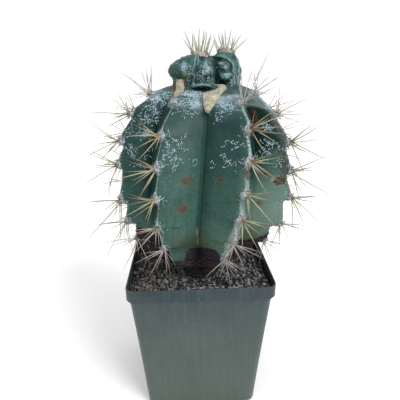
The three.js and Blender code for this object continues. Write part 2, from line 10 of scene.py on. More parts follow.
import bmesh
import bpy
import numpy as np
from mathutils import Matrix, Vector


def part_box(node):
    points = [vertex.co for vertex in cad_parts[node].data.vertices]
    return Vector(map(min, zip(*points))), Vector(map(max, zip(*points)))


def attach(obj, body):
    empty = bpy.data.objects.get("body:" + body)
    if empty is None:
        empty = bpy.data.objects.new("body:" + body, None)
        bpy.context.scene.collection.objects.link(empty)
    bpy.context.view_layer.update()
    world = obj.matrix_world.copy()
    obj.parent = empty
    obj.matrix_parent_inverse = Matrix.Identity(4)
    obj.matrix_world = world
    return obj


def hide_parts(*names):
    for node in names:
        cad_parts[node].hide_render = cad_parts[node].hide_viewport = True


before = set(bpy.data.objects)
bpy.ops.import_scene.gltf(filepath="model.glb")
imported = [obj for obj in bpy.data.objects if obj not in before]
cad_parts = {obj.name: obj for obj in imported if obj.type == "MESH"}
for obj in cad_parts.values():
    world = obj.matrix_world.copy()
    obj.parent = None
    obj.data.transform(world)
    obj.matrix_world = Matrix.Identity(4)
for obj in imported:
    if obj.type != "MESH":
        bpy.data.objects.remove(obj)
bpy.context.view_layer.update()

MM = 0.001
TURN = 2 * math.pi

# Pot, from its solid
POT_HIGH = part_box("pot")[1]
POT_HEIGHT = POT_HIGH.z / MM
RIM_HALF = POT_HIGH.x / MM
LIP_HEIGHT = 12
LIP_STEP = 2.5
WALL = 1.5
FLOOR = 2.5
TAPER = 0.083
POT_CORNER = 8
DRAIN_RADIUS = 5
DRAIN_PLACE = 31
DRAIN_SIDES = 40

# Soil
SOIL_TOP = -8
COARSE_PITCH = 2.6
COARSE_SIZES = (0.9, 2.0)
COARSE_LAYER = 0.9
FINE_PITCH = 3.0
FINE_SIZES = (0.5, 1.0)
FINE_LAYER = 0.2

# Stem: a leaning axis, the crest radius by height, and eight ribs
AXIS_FOOT = np.array([1.9, -9.0])
AXIS_LEAN = np.array([0.055, 0.17])
STEM_RADIUS = 83
WIDEST_Z = 92
APEX_Z = 164
UPPER_POWER = 2.65
LOWER_POWERS = (2.2, 0.62)
FURROW_DEPTH = 0.3
LOW_FURROW_DEPTH = 0.42
LOW_FURROW_Z = 45
LOW_FURROW_FALL = 20
FACE_BULGE = 0.05
RIB_FADE_Z = 18
RING_STEP = 4.7
RINGS = 49
CREST_ROUND = 0.045
FURROW_ROUND = 0.05

# Neck: it stands further forward than the axis, and its rise has no rings of its own
NECK_RADIUS = 15
NECK_DEPTH = 34
NECK_TOP_Z = 4
NECK_SHIFT = np.array([0, -9.0])
NECK_SHIFT_RISE = 24
NECK_RISE = 10.5

# Ribs: name, azimuth of the crest in degrees, its slant per mm of height, rings of the areoles
RIBS = (
    ("left_side", -60.5, -0.1, (42, 37, 32, 28, 22, 18, 14)),
    ("left_front", -29.6, 0, (40, 34, 29, 24, 19, 14)),
    ("right_front", 18.2, 0.062, (40, 35, 30, 25, 21, 16, 11)),
    ("right_side", 54.5, -0.19, (37, 32, 27, 22, 16, 11)),
    ("back_right_side", 112, 0.14, (41, 36, 31, 26, 21, 16, 12)),
    ("back_right", 158, 0.05, (41, 36, 31, 26, 21, 16, 12)),
    ("back_left", 202, 0, (40, 35, 30, 25, 20, 16, 12)),
    ("back_left_side", 247, 0, (41, 36, 31, 26, 21, 16, 12)),
)
AZIMUTHS = np.array([rib[1] for rib in RIBS], float)
SLANTS = np.array([rib[2] for rib in RIBS], float)
AREOLES = [np.array(rib[3]) for rib in RIBS]
SLANT_PIVOT_Z = 86

# The right side rib ends in a lower, squarer shoulder than the others
LOW_SHOULDER_RIB = 3
LOW_SHOULDER_APEX = 148
LOW_SHOULDER_POWER = 5
LOW_SHOULDER_LEAST = 0.72

# Chins: a crest swells just above each areole and steps in below it, more so in the lower half
CHIN = 2
LOW_CHIN = 3.4
CHIN_FOOT_Z = NECK_TOP_Z
CHIN_RISE = 40
CHIN_FALL = 4
TOP_FADE = 3

# Corky scars that fill the tops of two furrows: heights, azimuths and half widths at tip and top
SCARS = (
    (140, 161, -3.5, 4, 1, 13),
    (152, 160, -40, -42, 7, 13),
)
SCAR_LEVEL = 0.86

# Top edge of the dark cork on the neck: azimuths and heights
CORK_EDGE = (
    (-180, 48), (-60, 50), (-47, 43), (-36, 29), (-28, 21), (-22, 20), (-18, 30), (-16, 31), (-8, 26),
    (-2, 30), (5, 35), (9, 34), (12, 27), (16, 20), (26, 18), (36, 27), (58, 32), (75, 42), (110, 48),
    (180, 48),
)
CORK_FADE = 4

# Head: fused lobes round a centre, each with its own centre and half axes. The flap in front is last
HEAD = np.array([7.6, 19, 172])
LOBE_BLEND = 2.6
LOBES = (
    ((8, 23, 166), (22, 21, 18)),
    ((-12.5, 14, 174), (11.3, 13.5, 9.4)),
    ((-5, 15.5, 177.5), (10, 14, 9.7)),
    ((-12.5, 13, 160), (9.5, 11, 10)),
    ((6.5, 9, 172.5), (8, 13, 13.5)),
    ((26, 12, 172.5), (11.5, 14, 12)),
    ((3, 20, 179), (11, 9, 9)),
    ((26, 21, 182), (11, 10, 8.5)),
    ((30, 10, 161), (8, 9, 8)),
    ((35, 20, 170), (6, 12, 14)),
    ((-7, 31, 172), (13, 12, 14)),
    ((22, 33, 172), (14, 12, 15)),
    ((14.8, 21, 178.5), (7, 8, 8.4)),
    ((4.2, -12.5, 161.8), (9.6, 9.5, 2.9)),
)

# Lines on the head's front and back, each as sideways place and height: rib edges and deep grooves
FRONT_EDGES = (
    ((0.3, 187.6), (-1.4, 178.9), (-4.0, 171.1), (-1.4, 170.2), (-3.1, 163.2), (-4.9, 158.0)),
    ((2.5, 187.6), (1.2, 178.9)),
    ((11.5, 181.5), (13.2, 177.2), (14.1, 171.1)),
    ((16.6, 185.9), (22.7, 185.4), (27.8, 183.2), (31.3, 179.8), (32.1, 173.7), (33.0, 162.4)),
    ((33.9, 188.0), (36.0, 182.4), (37.6, 175.0), (36.8, 168.0), (38.6, 160.0)),
    ((-4.6, 160.2), (-1.0, 162.6), (4.0, 163.6), (9.0, 162.8), (13.0, 160.4)),
)
FRONT_GROOVES = (
    ((4.2, 186.7), (5.0, 182.4)),
    ((16.2, 184.1), (17.5, 175.4), (18.4, 165.0)),
    ((19.7, 182.4), (24.4, 182.0), (28.7, 178.9), (30.0, 173.7)),
    ((20.5, 174.0), (24.0, 173.0), (27.0, 173.4)),
    ((5.2, 170.0), (9.0, 167.4), (11.5, 168.6)),
    ((30.5, 168.0), (27.5, 165.2), (22.0, 165.0)),
    ((18.0, 162.0), (25.0, 161.0), (33.0, 157.0)),
    ((-5.0, 160.5), (5.0, 159.6), (13.0, 159.8)),
)
BACK_EDGES = (
    ((-12, 186), (-15, 176), (-17, 164)),
    ((2, 188), (0, 178), (-2, 168), (-1, 158)),
    ((24, 189), (25, 179), (23, 169), (24, 158)),
    ((33, 184), (34, 174), (31, 164)),
)
BACK_GROOVES = (
    ((-6, 187), (-8, 176), (-8, 162)),
    ((10, 187), (8, 177), (10, 167), (9, 158)),
)
EDGE_HEIGHT = 0.8
EDGE_SPREAD = 0.95
GROOVE_DEPTH = 1.5
GROOVE_SPREAD = 1.7

# Spots in the skin: place, half size and kind, which is the name of the mark that they make. Scars are
# corky, wounds and dark wounds are old ones, fuzz is lilac wool, and gloom is painted shade in a hollow.
# On the head, dark lobes are a deeper green with painted shade in the hollows, bright spots a fresher
# green, and sheen spots are painted highlights
SPOTS = (
    ((-14.2, -5, 160), (3.4, 16, 7.2), "scar"),
    ((-20.4, 5, 161), (2.3, 15, 5), "wound"),
    ((-9.0, 1, 163), (1.5, 10, 4.4), "wound"),
    ((14.5, -10, 160), (9.5, 12, 4.5), "scar"),
    ((-10.3, -58.9, 93.6), (6.2, 6, 3.2), "wound"),
    ((-14.3, -62.4, 72.3), (4.6, 4.5, 4.2), "wound"),
    ((15.5, -63.1, 95.3), (2.4, 3, 2.0), "wound"),
    ((34.5, -68.2, 101.0), (2.4, 3.5, 4.6), "wound"),
    ((53.5, -44.0, 94.5), (4.6, 3, 2.2), "wound"),
    ((66.9, -44.1, 87.9), (6.4, 6, 3.6), "dark_wound"),
    ((49.9, -43.6, 68.4), (2.6, 2.8, 2.2), "wound"),
    ((27.5, -72.1, 79.5), (1.8, 2.5, 1.6), "wound"),
    ((43.5, -34.0, 138.5), (3.5, 6, 5.5), "wound"),
    ((47.0, -30.0, 144.0), (7, 8, 4.5), "gloom"),
    ((28.5, -29.5, 152.5), (9, 6, 3.4), "fuzz"),
    ((-20, -33, 148.5), (3.0, 4, 4.2), "fuzz"),
    ((-36, -6, 152.5), (5, 6, 3.0), "fuzz"),
    ((-8.5, 2, 170.0), (3.2, 6, 2.8), "bright"),
    ((-14, 6, 176), (10, 14, 9), "dark_green_and_shade"),
    ((22.5, 0, 177), (6.5, 9, 6), "dark_green_and_shade"),
    ((17.3, 0, 173), (2.2, 9, 11), "dark_green_and_shade"),
    ((-10.3, 2, 177.2), (2.4, 10, 4.2), "painted_highlight"),
    ((22.2, -2, 179.8), (2.8, 10, 1.2), "painted_highlight"),
    ((25.6, -2, 175.0), (1.8, 10, 2.6), "painted_highlight"),
    ((14.0, -3, 173.5), (1.0, 10, 3.2), "painted_highlight"),
    ((26.5, -2, 169.6), (5.0, 10, 2.4), "painted_highlight"),
    ((9.0, -3, 176.0), (3.4, 10, 5.5), "painted_highlight"),
    ((-5.4, -1, 172.5), (1.5, 10, 6.0), "painted_highlight"),
    ((24.0, 0, 186.4), (8.0, 12, 1.2), "painted_highlight"),
    ((3.0, 0, 171.0), (2.6, 9, 7), "dark_green_and_shade"),
    ((-20, 84, 96), (6, 5, 4), "wound"),
    ((54, 68, 70), (5, 5, 3.5), "dark_wound"),
    ((-66, 40, 84), (4, 5, 5), "wound"),
)

# White flecks. Fields: sector, place across it, ring, half width, half height, tufts, downy base.
# Scribbles: sector and a line of places and rings. Head: sideways place, height, halves, tufts
FLECK_FIELDS = (
    (0, 0.55, 39.5, 8, 8, 52, 0.1),
    (0, 0.8, 36.5, 6, 8, 44, 0.1),
    (0, 0.35, 42.0, 8, 5, 44, 0.25),
    (0, 1.75, 40.5, 5, 6, 40, 0.4),
    (0, 0.25, 34.0, 8, 4, 16, 0),
    (0, 0.35, 31.0, 6, 4, 12, 0),
    (0, 0.5, 28.0, 7, 4, 9, 0),
    (0, 0.45, 36.2, 9, 6, 32, 0),
    (0, 0.62, 33.4, 7, 5, 26, 0),
    (0, 0.3, 30.6, 8, 6, 24, 0),
    (0, 0.9, 30.0, 6, 5, 10, 0),
    (1, 0.55, 42.4, 7, 6, 130, 0.9),
    (1, 0.66, 39.8, 5, 6, 80, 0.6),
    (1, 0.3, 40.4, 7, 6, 60, 0.2),
    (1, 0.22, 43.0, 5, 4, 50, 0.5),
    (1, 0.35, 37.8, 8, 4, 18, 0),
    (1, 1.42, 41.0, 5, 5, 100, 1),
    (1, 1.62, 39.6, 8, 5, 90, 0.8),
    (1, 1.5, 37.6, 9, 4, 26, 0.2),
    (1, 1.4, 36.0, 4, 2, 6, 0),
    (1, 0.17, 31.2, 7, 7, 28, 0),
    (1, 0.35, 29.8, 7, 4, 16, 0),
    (1, 0.36, 33.0, 5, 5, 12, 0),
    (1, 1.66, 29.6, 7, 4, 22, 0),
    (1, 1.72, 32.8, 5, 3, 9, 0),
    (2, 0.4, 40.6, 9, 4, 60, 0.6),
    (2, 1.65, 34.6, 5, 4, 15, 0),
    (2, 1.5, 31.4, 6, 6, 26, 0),
    (2, 1.74, 28.4, 5, 5, 14, 0),
    (2, 1.35, 29.6, 4, 5, 8, 0),
    (3, 0.3, 37.0, 9, 7, 60, 0.5),
    (3, 1.5, 39.0, 9, 7, 70, 0.5),
    (7, 1.6, 40.5, 9, 7, 80, 0.5),
)
FLECK_LINES = (
    (1, ((0.07, 35.3), (0.14, 34.9), (0.2, 33.9), (0.3, 33.2), (0.36, 32.7), (0.42, 31.9), (0.6, 31.6))),
    (1, ((1.42, 32.0), (1.5, 32.2), (1.52, 33.0), (1.6, 33.1), (1.66, 32.5))),
    (1, ((1.64, 31.7), (1.78, 32.2), (1.86, 32.7), (1.93, 32.2))),
    (1, ((0.72, 29.6), (0.78, 29.8), (0.83, 29.4), (0.8, 28.8), (0.74, 28.9))),
    (1, ((1.18, 29.3), (1.22, 29.7), (1.29, 29.3), (1.27, 28.5), (1.2, 28.4), (1.17, 28.9))),
    (0, ((0.05, 35.2), (0.15, 35.0), (0.24, 34.2))),
    (0, ((0.1, 33.4), (0.3, 33.6), (0.5, 33.3))),
    (0, ((0.12, 31.0), (0.2, 30.6), (0.34, 30.2), (0.42, 29.2))),
    (0, ((0.15, 43.3), (0.5, 43.1), (0.9, 42.5))),
    (0, ((0.2, 42.3), (0.6, 42.0), (1.0, 41.4))),
    (0, ((0.2, 41.3), (0.55, 41.1), (0.95, 40.5))),
    (0, ((0.25, 40.3), (0.6, 40.1), (0.9, 39.5))),
    (2, ((1.5, 35.2), (1.66, 35.4), (1.76, 34.6))),
    (2, ((1.42, 32.6), (1.56, 31.9), (1.72, 31.8), (1.8, 30.9))),
)
FUZZ_FIELDS = (
    (1, 1.72, 40.6, 8, 5, 260),
    (2, 0.1, 41.0, 6, 4, 240),
    (1, 0.03, 40.0, 4.5, 5, 420),
    (1, 1.95, 40.2, 4, 6, 300),
    (0, 0.1, 42.2, 6, 4, 260),
    (3, 1.9, 41.0, 6, 4, 160),
    (7, 0.1, 41.0, 6, 4, 160),
)
HEAD_FLECKS = (
    (-10.2, 177, 3, 4.5, 80),
    (-20, 172, 4, 4, 26),
    (2, 170, 3, 7, 60),
    (-6, 166, 2, 6, 30),
    (-15, 180, 4, 3, 20),
    (7, 173, 6, 9, 120),
    (25, 178, 4, 3, 36),
    (31, 164, 3.5, 6, 90),
    (22, 186, 8, 3, 30),
    (-7, 160, 8, 3, 60),
    (24, 158, 9, 3, 80),
)
BACK_SECTORS = (3, 4, 5, 6, 7)

# Woolly growing bands on the head: name, start and end in plan
CROWN_BANDS = (
    ("crown_left", (-4, 17), (12, 20)),
    ("crown_right", (19, 21), (35, 19)),
)

# Camera: where it stands round the object, how far from its target, and its lens on a 36 mm sensor
CAMERA_AZIMUTH = -2.6
CAMERA_ELEVATION = 19.28
CAMERA_DISTANCE = 362
CAMERA_TARGET = Vector((2.16, 0, 57.3 + POT_HEIGHT))
CAMERA_ROLL = -0.5
CAMERA_LENS = 34.2


def clamp(value, low=0.0, high=1.0):
    return np.minimum(np.maximum(value, low), high)


def lerp(one, two, share):
    return one + (two - one) * share


def ramp(value, start, length):
    """0 up to the start, 1 from a length past it."""
    return clamp((value - start) / length)


def ramp_down(value, end, length):
    """1 until a length before the end, 0 from there."""
    return clamp((end - value) / length)


def between(value, start, rising, end, falling):
    """0 outside a range, 1 inside it, with a ramp at each end."""
    return ramp(value, start, rising) * ramp_down(value, end, falling)


def lattice(a, b, c, seed=0):
    """A repeatable draw from -1 to 1 for whole numbers."""
    wave = np.sin(a * 127.1 + b * 311.7 + c * 74.7 + seed * 53.3) * 43758.5453
    return 2 * (wave - np.floor(wave)) - 1


def rough(points, grain, seed=0):
    """Smooth noise from -1 to 1 at each point, with the grain's size in mm."""
    place = np.asarray(points, float) / grain
    cell = np.floor(place)
    part = place - cell
    part = part * part * (3 - 2 * part)
    total = 0
    for corner in np.ndindex(2, 2, 2):
        weight = 1
        for axis in range(3):
            share = part[..., axis]
            weight = weight * (share if corner[axis] else 1 - share)
        spot = cell + np.array(corner)
        total = total + weight * lattice(spot[..., 0], spot[..., 1], spot[..., 2], seed)
    return total


def layered(points, layers):
    """Sum of noises, each given by its depth and grain in mm and a seed."""
    return sum(depth * rough(points, grain, seed) for depth, grain, seed in layers)


def unit(vectors):
    return vectors / np.maximum(np.linalg.norm(vectors, axis=-1, keepdims=True), 1e-9)


# Stem

def axis_at(z):
    z = np.asarray(z, float)[..., None]
    shift = ramp_down(z, NECK_TOP_Z + NECK_SHIFT_RISE, NECK_SHIFT_RISE)
    return AXIS_FOOT + AXIS_LEAN * (z - SOIL_TOP) + NECK_SHIFT * shift


def azimuth_of(points):
    """Azimuth of points round the stem's leaning axis."""
    offset = points[..., :2] - axis_at(points[..., 2])
    return np.arctan2(offset[..., 0], -offset[..., 1])


def crest_curve(z):
    """Crest radius by height, without the swellings."""
    z = np.asarray(z, float)
    up = ramp(z, WIDEST_Z, APEX_Z - WIDEST_Z)
    upper = STEM_RADIUS * (1 - up ** UPPER_POWER) ** (1 / UPPER_POWER)
    down = ramp_down(z, WIDEST_Z, WIDEST_Z - NECK_TOP_Z)
    buried = ramp_down(z, SOIL_TOP, NECK_DEPTH)
    neck = NECK_RADIUS * np.sqrt(1 - buried ** 2)
    lower = neck + (STEM_RADIUS - NECK_RADIUS) * (1 - down ** LOWER_POWERS[0]) ** LOWER_POWERS[1]
    return np.where(z >= WIDEST_Z, upper, lower)


def ring_heights():
    """Heights at equal steps along the crest curve, from the neck's top to the apex."""
    step = 0.01
    z = np.arange(SOIL_TOP, APEX_Z, step)
    travelled = np.concatenate([[0], np.cumsum(np.hypot(step, np.diff(crest_curve(z))))])
    heights = np.interp(np.arange(RINGS) * RING_STEP, travelled - NECK_RISE, z)
    heights[0] = SOIL_TOP
    return heights


HEIGHTS = ring_heights()


def height_of(ring):
    return np.interp(ring, np.arange(RINGS), HEIGHTS)


def nearness(k, z, spread):
    """How close a height is to an areole of rib k: 1 on it, fading over the spread in mm."""
    index = np.interp(z, HEIGHTS, np.arange(RINGS))
    near = np.zeros(np.broadcast(k, index).shape)
    for number, rings in enumerate(AREOLES):
        away = np.abs(index[..., None] - rings).min(-1) * RING_STEP / spread
        near = np.where(k == number, np.exp(-(away ** 2)), near)
    return near


def chin(k, z):
    """Wave of a crest between two areoles: 1 on an areole, -1 a step below it."""
    index = np.interp(z, HEIGHTS, np.arange(RINGS))
    k, index = np.broadcast_arrays(k, index)
    wave = np.zeros(index.shape)
    for number, areoles in enumerate(AREOLES):
        rings = np.concatenate([[areoles[-1] - CHIN_FALL - 1], areoles[::-1]])
        at = np.searchsorted(rings, index, side="right")
        below = rings[np.maximum(at - 1, 0)]
        above = rings[np.minimum(at, len(rings) - 1)]
        gap = np.maximum(above - below, 1)
        share = ramp(index, below, gap)
        turn = 1 - 1 / np.maximum(gap, 2)
        fall = np.cos(math.pi * share / turn)
        rise = -np.cos(math.pi * (share - turn) / (1 - turn))
        level = np.where(share < turn, fall, rise)
        level = np.where(index >= rings[-1], clamp(1 - (index - rings[-1]) / TOP_FADE), level)
        wave = np.where(k == number, level, wave)
    return wave


def face_width(z):
    """Width of a face, from crest to furrow, at a height."""
    return 0.42 * crest_curve(z)


def crest_azimuth(k, z):
    lift = clamp(z, RIB_FADE_Z, APEX_Z) - SLANT_PIVOT_Z
    return np.radians(AZIMUTHS[k] + SLANTS[k] * lift)


def ribbing(z):
    """1 where the ribs are full, 0 where the neck is round."""
    return clamp((z - NECK_TOP_Z + 1) / (RIB_FADE_Z - NECK_TOP_Z)) ** 0.7


def crest_radius(k, z, chins=1):
    """Radius of a crest with its chins, or without them."""
    z = np.asarray(z, float)
    curve = crest_curve(z)
    depth = chins * lerp(CHIN, LOW_CHIN, ramp_down(z, WIDEST_Z, CHIN_RISE))
    swell = depth * chin(k, z) * ramp(z, CHIN_FOOT_Z, CHIN_RISE) ** 0.5
    up = ramp(z, WIDEST_Z, LOW_SHOULDER_APEX - WIDEST_Z)
    squarer = STEM_RADIUS * (1 - up ** LOW_SHOULDER_POWER) ** (1 / LOW_SHOULDER_POWER)
    low = np.maximum(np.minimum(squarer, curve + CHIN) + swell, LOW_SHOULDER_LEAST * curve)
    return np.where((k == LOW_SHOULDER_RIB) & (z >= WIDEST_Z), low, curve + swell)


def scar_fill(azimuth, z):
    """How far a corky scar fills a furrow at an azimuth and height: 0 none, 1 full."""
    fill = np.zeros(np.broadcast(azimuth, z).shape)
    for tip_z, top_z, tip_azimuth, top_azimuth, tip_width, top_width in SCARS:
        rise = (z - tip_z) / (top_z - tip_z)
        centre = np.radians(lerp(tip_azimuth, top_azimuth, clamp(rise) ** 2))
        width = np.radians(lerp(tip_width, top_width, clamp(rise) ** 1.2))
        off = np.abs(azimuth - centre) / width
        fill = np.maximum(fill, clamp(1.5 - off) * clamp(rise * 4))
    return fill


def polar(azimuth, radius=1.0):
    """Plan vector at an azimuth."""
    return np.stack([radius * np.sin(azimuth), -radius * np.cos(azimuth)], -1)


def skin(k, along, z):
    """Points of the skin between crest k and the next: along is 0 and 2 at the crests, 1 in the furrow."""
    k, along, z = np.broadcast_arrays(k, along, np.asarray(z, float))
    following = (k + 1) % len(RIBS)
    first = crest_azimuth(k, z)
    second = crest_azimuth(following, z)
    second = np.where(second < first, second + TURN, second)
    left = along <= 1
    near = np.where(left, first, second)
    rib = np.where(left, k, following)
    share = np.where(left, along, 2 - along)
    valley = (first + second) / 2
    full = ribbing(z)
    radius = crest_radius(rib, z, 0)
    swell = (crest_radius(rib, z) - radius) * (1 - share) ** 2
    curve = crest_curve(z)
    lower = ramp_down(z, LOW_FURROW_Z, LOW_FURROW_FALL)
    furrow = curve * (1 - lerp(FURROW_DEPTH, LOW_FURROW_DEPTH, lower) * full)
    outward = polar(near)
    sideways = np.stack([np.cos(near), np.sin(near)], -1)
    face = polar(valley, furrow) - polar(near, radius)
    drop = np.sum(face * outward, -1)
    aside = np.sum(face * sideways, -1)
    soft = np.sqrt(share ** 2 + CREST_ROUND ** 2) - CREST_ROUND
    soft = soft / (math.hypot(1, CREST_ROUND) - CREST_ROUND)
    across = unit(np.stack([face[..., 1], -face[..., 0]], -1))
    across = across * np.sign(np.sum(across * outward, -1))[..., None]
    bulge = FACE_BULGE * curve * 4 * share * (1 - share)
    into = 1 - share
    fill = 0.3 * curve * (np.sqrt(into ** 2 + FURROW_ROUND ** 2) - into)
    flat = polar(near, radius) + outward * (drop * soft)[..., None] + sideways * (aside * share)[..., None]
    flat = flat + across * bulge[..., None] + polar(valley, fill) + outward * swell[..., None]
    angle = lerp(near, valley, share)
    round_point = polar(angle, lerp(radius, furrow, share) + swell)
    point = lerp(round_point, flat, full[..., None])
    azimuth = np.arctan2(point[..., 0], -point[..., 1])
    reach = np.linalg.norm(point, axis=-1)
    filled = np.maximum(reach, SCAR_LEVEL * curve)
    scale = lerp(reach, filled, scar_fill(azimuth, z)) / np.maximum(reach, 1e-6)
    plan = point * scale[..., None] + axis_at(z)
    return np.concatenate([plan, z[..., None]], -1)


def skin_normal(k, along, z):
    """Outward unit normal of the skin at each spot."""
    step = 0.02
    rise = 0.3
    across = skin(k, clamp(along + step, 0, 2), z) - skin(k, clamp(along - step, 0, 2), z)
    upward = skin(k, along, z + rise) - skin(k, along, z - rise)
    return unit(np.cross(across, upward))


def crest_point(k, z):
    return skin(k, 0.0, z)


def crest_frame(k, z):
    """Outward, upward and sideways unit vectors on a crest."""
    rise = 4.0
    top = np.minimum(z + rise, HEIGHTS[-1])
    up = unit(crest_point(k, top) - crest_point(k, z - rise))
    azimuth = crest_azimuth(k, z)
    side = np.stack([np.cos(azimuth), np.sin(azimuth), np.zeros_like(azimuth)], -1)
    out = unit(np.cross(side, up))
    return out, up, np.cross(up, out)


def cork(points):
    """1 on the dark corky neck, 0 on the green skin: it climbs higher at the sides than in front."""
    top = np.interp(np.degrees(azimuth_of(points)), *zip(*CORK_EDGE))
    return ramp_down(points[..., 2], top + CORK_FADE / 2, CORK_FADE)


def rib_place(points):
    """Nearest crest and its distance along the skin in mm, at points on the stem."""
    z = points[:, 2]
    azimuth = azimuth_of(points)
    radius = np.linalg.norm(points[:, :2] - axis_at(z), axis=1)
    away = np.full(len(points), 1e9)
    nearest = np.zeros(len(points), int)
    for k in range(len(RIBS)):
        turn = azimuth - crest_azimuth(np.full(len(points), k), z)
        turn = np.abs((turn + math.pi) % TURN - math.pi) * radius * 1.2
        nearest = np.where(turn < away, k, nearest)
        away = np.minimum(away, turn)
    return nearest, away


# Head

def line_weight(points, lines, spread, front):
    """1 on lines drawn over the head's front or back, fading over a spread in mm."""
    place = points[..., [0, 2]]
    nearest = np.full(place.shape[:-1], 1e9)
    for line in lines:
        line = np.array(line, float)
        for start, end in zip(line[:-1], line[1:]):
            way = end - start
            share = clamp(((place - start) @ way) / (way @ way))
            gap = np.linalg.norm(place - start - share[..., None] * way, axis=-1)
            nearest = np.minimum(nearest, gap)
    side = HEAD[1] - points[..., 1] if front else points[..., 1] - HEAD[1]
    return np.exp(-((nearest / spread) ** 2)) * clamp(side / 6 + 0.3)


def head_edges(points):
    front = line_weight(points, FRONT_EDGES, EDGE_SPREAD, True)
    return np.maximum(front, line_weight(points, BACK_EDGES, EDGE_SPREAD, False))


def head_grooves(points):
    front = line_weight(points, FRONT_GROOVES, GROOVE_SPREAD, True)
    return np.maximum(front, line_weight(points, BACK_GROOVES, GROOVE_SPREAD, False))


def head_field(points):
    """Signed field of the head in mm: below 0 inside."""
    value = np.full(points.shape[:-1], 1e6)
    for centre, half in LOBES:
        half = np.array(half)
        field = (np.linalg.norm((points - centre) / half, axis=-1) - 1) * half.min()
        blend = clamp(LOBE_BLEND - np.abs(value - field), 0, LOBE_BLEND) / LOBE_BLEND
        value = np.minimum(value, field) - blend * blend * LOBE_BLEND / 4
    return value


def settle(field):
    """Fills the cells that only touch at an edge or a corner, so that the surface stays one sheet."""
    filled = -0.05
    corners = np.array(list(np.ndindex(2, 2, 2)))
    for _ in range(12):
        inside = field < 0
        change = np.zeros(field.shape, bool)
        for axis in range(3):
            cut = [slice(None)] * 3
            views = {}
            for i, j in np.ndindex(2, 2):
                cut[(axis + 1) % 3] = slice(i, i - 1 or None)
                cut[(axis + 2) % 3] = slice(j, j - 1 or None)
                views[i, j] = tuple(cut)
            a, b, c, d = (inside[views[key]] for key in ((0, 0), (1, 1), (0, 1), (1, 0)))
            change[views[0, 1]] |= a & b & ~c & ~d
            change[views[0, 0]] |= ~a & ~b & c & d
        parts = [inside[tuple(slice(i, i - 1 or None) for i in corner)] for corner in corners]
        total = sum(part.astype(int) for part in parts)
        for number in range(4):
            pair = parts[number] & parts[7 - number]
            beside = tuple(slice(i, i - 1 or None) for i in corners[number] ^ [1, 0, 0])
            change[beside] |= pair & (total == 2)
            hollow = ~parts[number] & ~parts[7 - number]
            here = tuple(slice(i, i - 1 or None) for i in corners[number])
            change[here] |= hollow & (total == 6)
        if not change.any():
            break
        field = np.where(change & ~inside, filled, field)
    return field


def surface_net(field, low, step):
    """Closed mesh of a sampled field's zero surface, with one point in each crossed cell."""
    field = settle(field)
    inside = field < 0
    shape = np.array(field.shape) - 1
    total = np.zeros((*shape, 3))
    count = np.zeros(shape)
    corners = list(np.ndindex(2, 2, 2))
    for start in corners:
        for axis in range(3):
            if start[axis]:
                continue
            end = list(start)
            end[axis] = 1
            cut = [slice(s, s + n) for s, n in zip(start, shape)]
            far = [slice(s, s + n) for s, n in zip(end, shape)]
            a, b = field[tuple(cut)], field[tuple(far)]
            crossed = inside[tuple(cut)] != inside[tuple(far)]
            share = np.where(crossed, a / np.where(crossed, a - b, 1), 0)
            for i in range(3):
                place = share if i == axis else start[i]
                total[..., i] += np.where(crossed, place, 0)
            count += crossed
    used = count > 0
    number = np.full(shape, -1)
    number[used] = np.arange(used.sum())
    cells = np.argwhere(used)
    points = low + step * (cells + total[used] / count[used][:, None])
    quads = []
    for axis in range(3):
        second, third = (axis + 1) % 3, (axis + 2) % 3
        here = [slice(1, -1)] * 3
        there = [slice(1, -1)] * 3
        here[axis] = slice(0, -1)
        there[axis] = slice(1, None)
        a, b = inside[tuple(here)], inside[tuple(there)]
        base = np.argwhere(a != b)
        leaving = a[a != b]
        offset = np.ones(3, int)
        offset[axis] = 0
        base = base + offset
        around = []
        for ds, dt in ((0, 0), (1, 0), (1, 1), (0, 1)):
            cell = base.copy()
            cell[:, second] -= ds
            cell[:, third] -= dt
            around.append(number[cell[:, 0], cell[:, 1], cell[:, 2]])
        quad = np.stack(around, 1)
        quad[~leaving] = quad[~leaving][:, ::-1]
        quads.append(quad)
    return points, np.concatenate(quads)


# Meshes

class Shape:
    """Gathers points with a mark of three parts, and faces with their paint, into one mesh."""

    def __init__(self):
        self.points = []
        self.faces = []
        self.paints = []
        self.marks = []
        self.count = 0

    def add(self, points, faces, paint=0, mark=(0, 0, 0)):
        points = np.asarray(points, float)
        self.points.append(points)
        for part in faces if isinstance(faces, list) else [faces]:
            part = np.asarray(part)
            self.faces.append(part + self.count)
            self.paints.append(np.full(len(part), paint))
        self.marks.append(np.broadcast_to(np.asarray(mark, float), (len(points), 3)))
        self.count += len(points)

    def build(self, name, paints, smooth=True):
        points = (np.concatenate(self.points) + [0, 0, POT_HEIGHT]) * MM
        corners = np.concatenate([part.ravel() for part in self.faces])
        totals = np.concatenate([np.full(len(part), part.shape[1]) for part in self.faces])
        starts = np.concatenate([[0], np.cumsum(totals)[:-1]])
        mesh = bpy.data.meshes.new(name)
        mesh.vertices.add(len(points))
        mesh.vertices.foreach_set("co", points.ravel())
        mesh.loops.add(len(corners))
        mesh.loops.foreach_set("vertex_index", corners)
        mesh.polygons.add(len(totals))
        mesh.polygons.foreach_set("loop_start", starts)
        mesh.polygons.foreach_set("loop_total", totals)
        mesh.polygons.foreach_set("material_index", np.concatenate(self.paints))
        mesh.polygons.foreach_set("use_smooth", np.full(len(totals), smooth))
        mesh.update(calc_edges=True)
        mark = mesh.attributes.new("mark", "FLOAT_VECTOR", "POINT")
        mark.data.foreach_set("vector", np.concatenate(self.marks).ravel())
        for paint in paints:
            mesh.materials.append(paint)
        made = bpy.data.objects.new(name, mesh)
        bpy.context.scene.collection.objects.link(made)
        return made


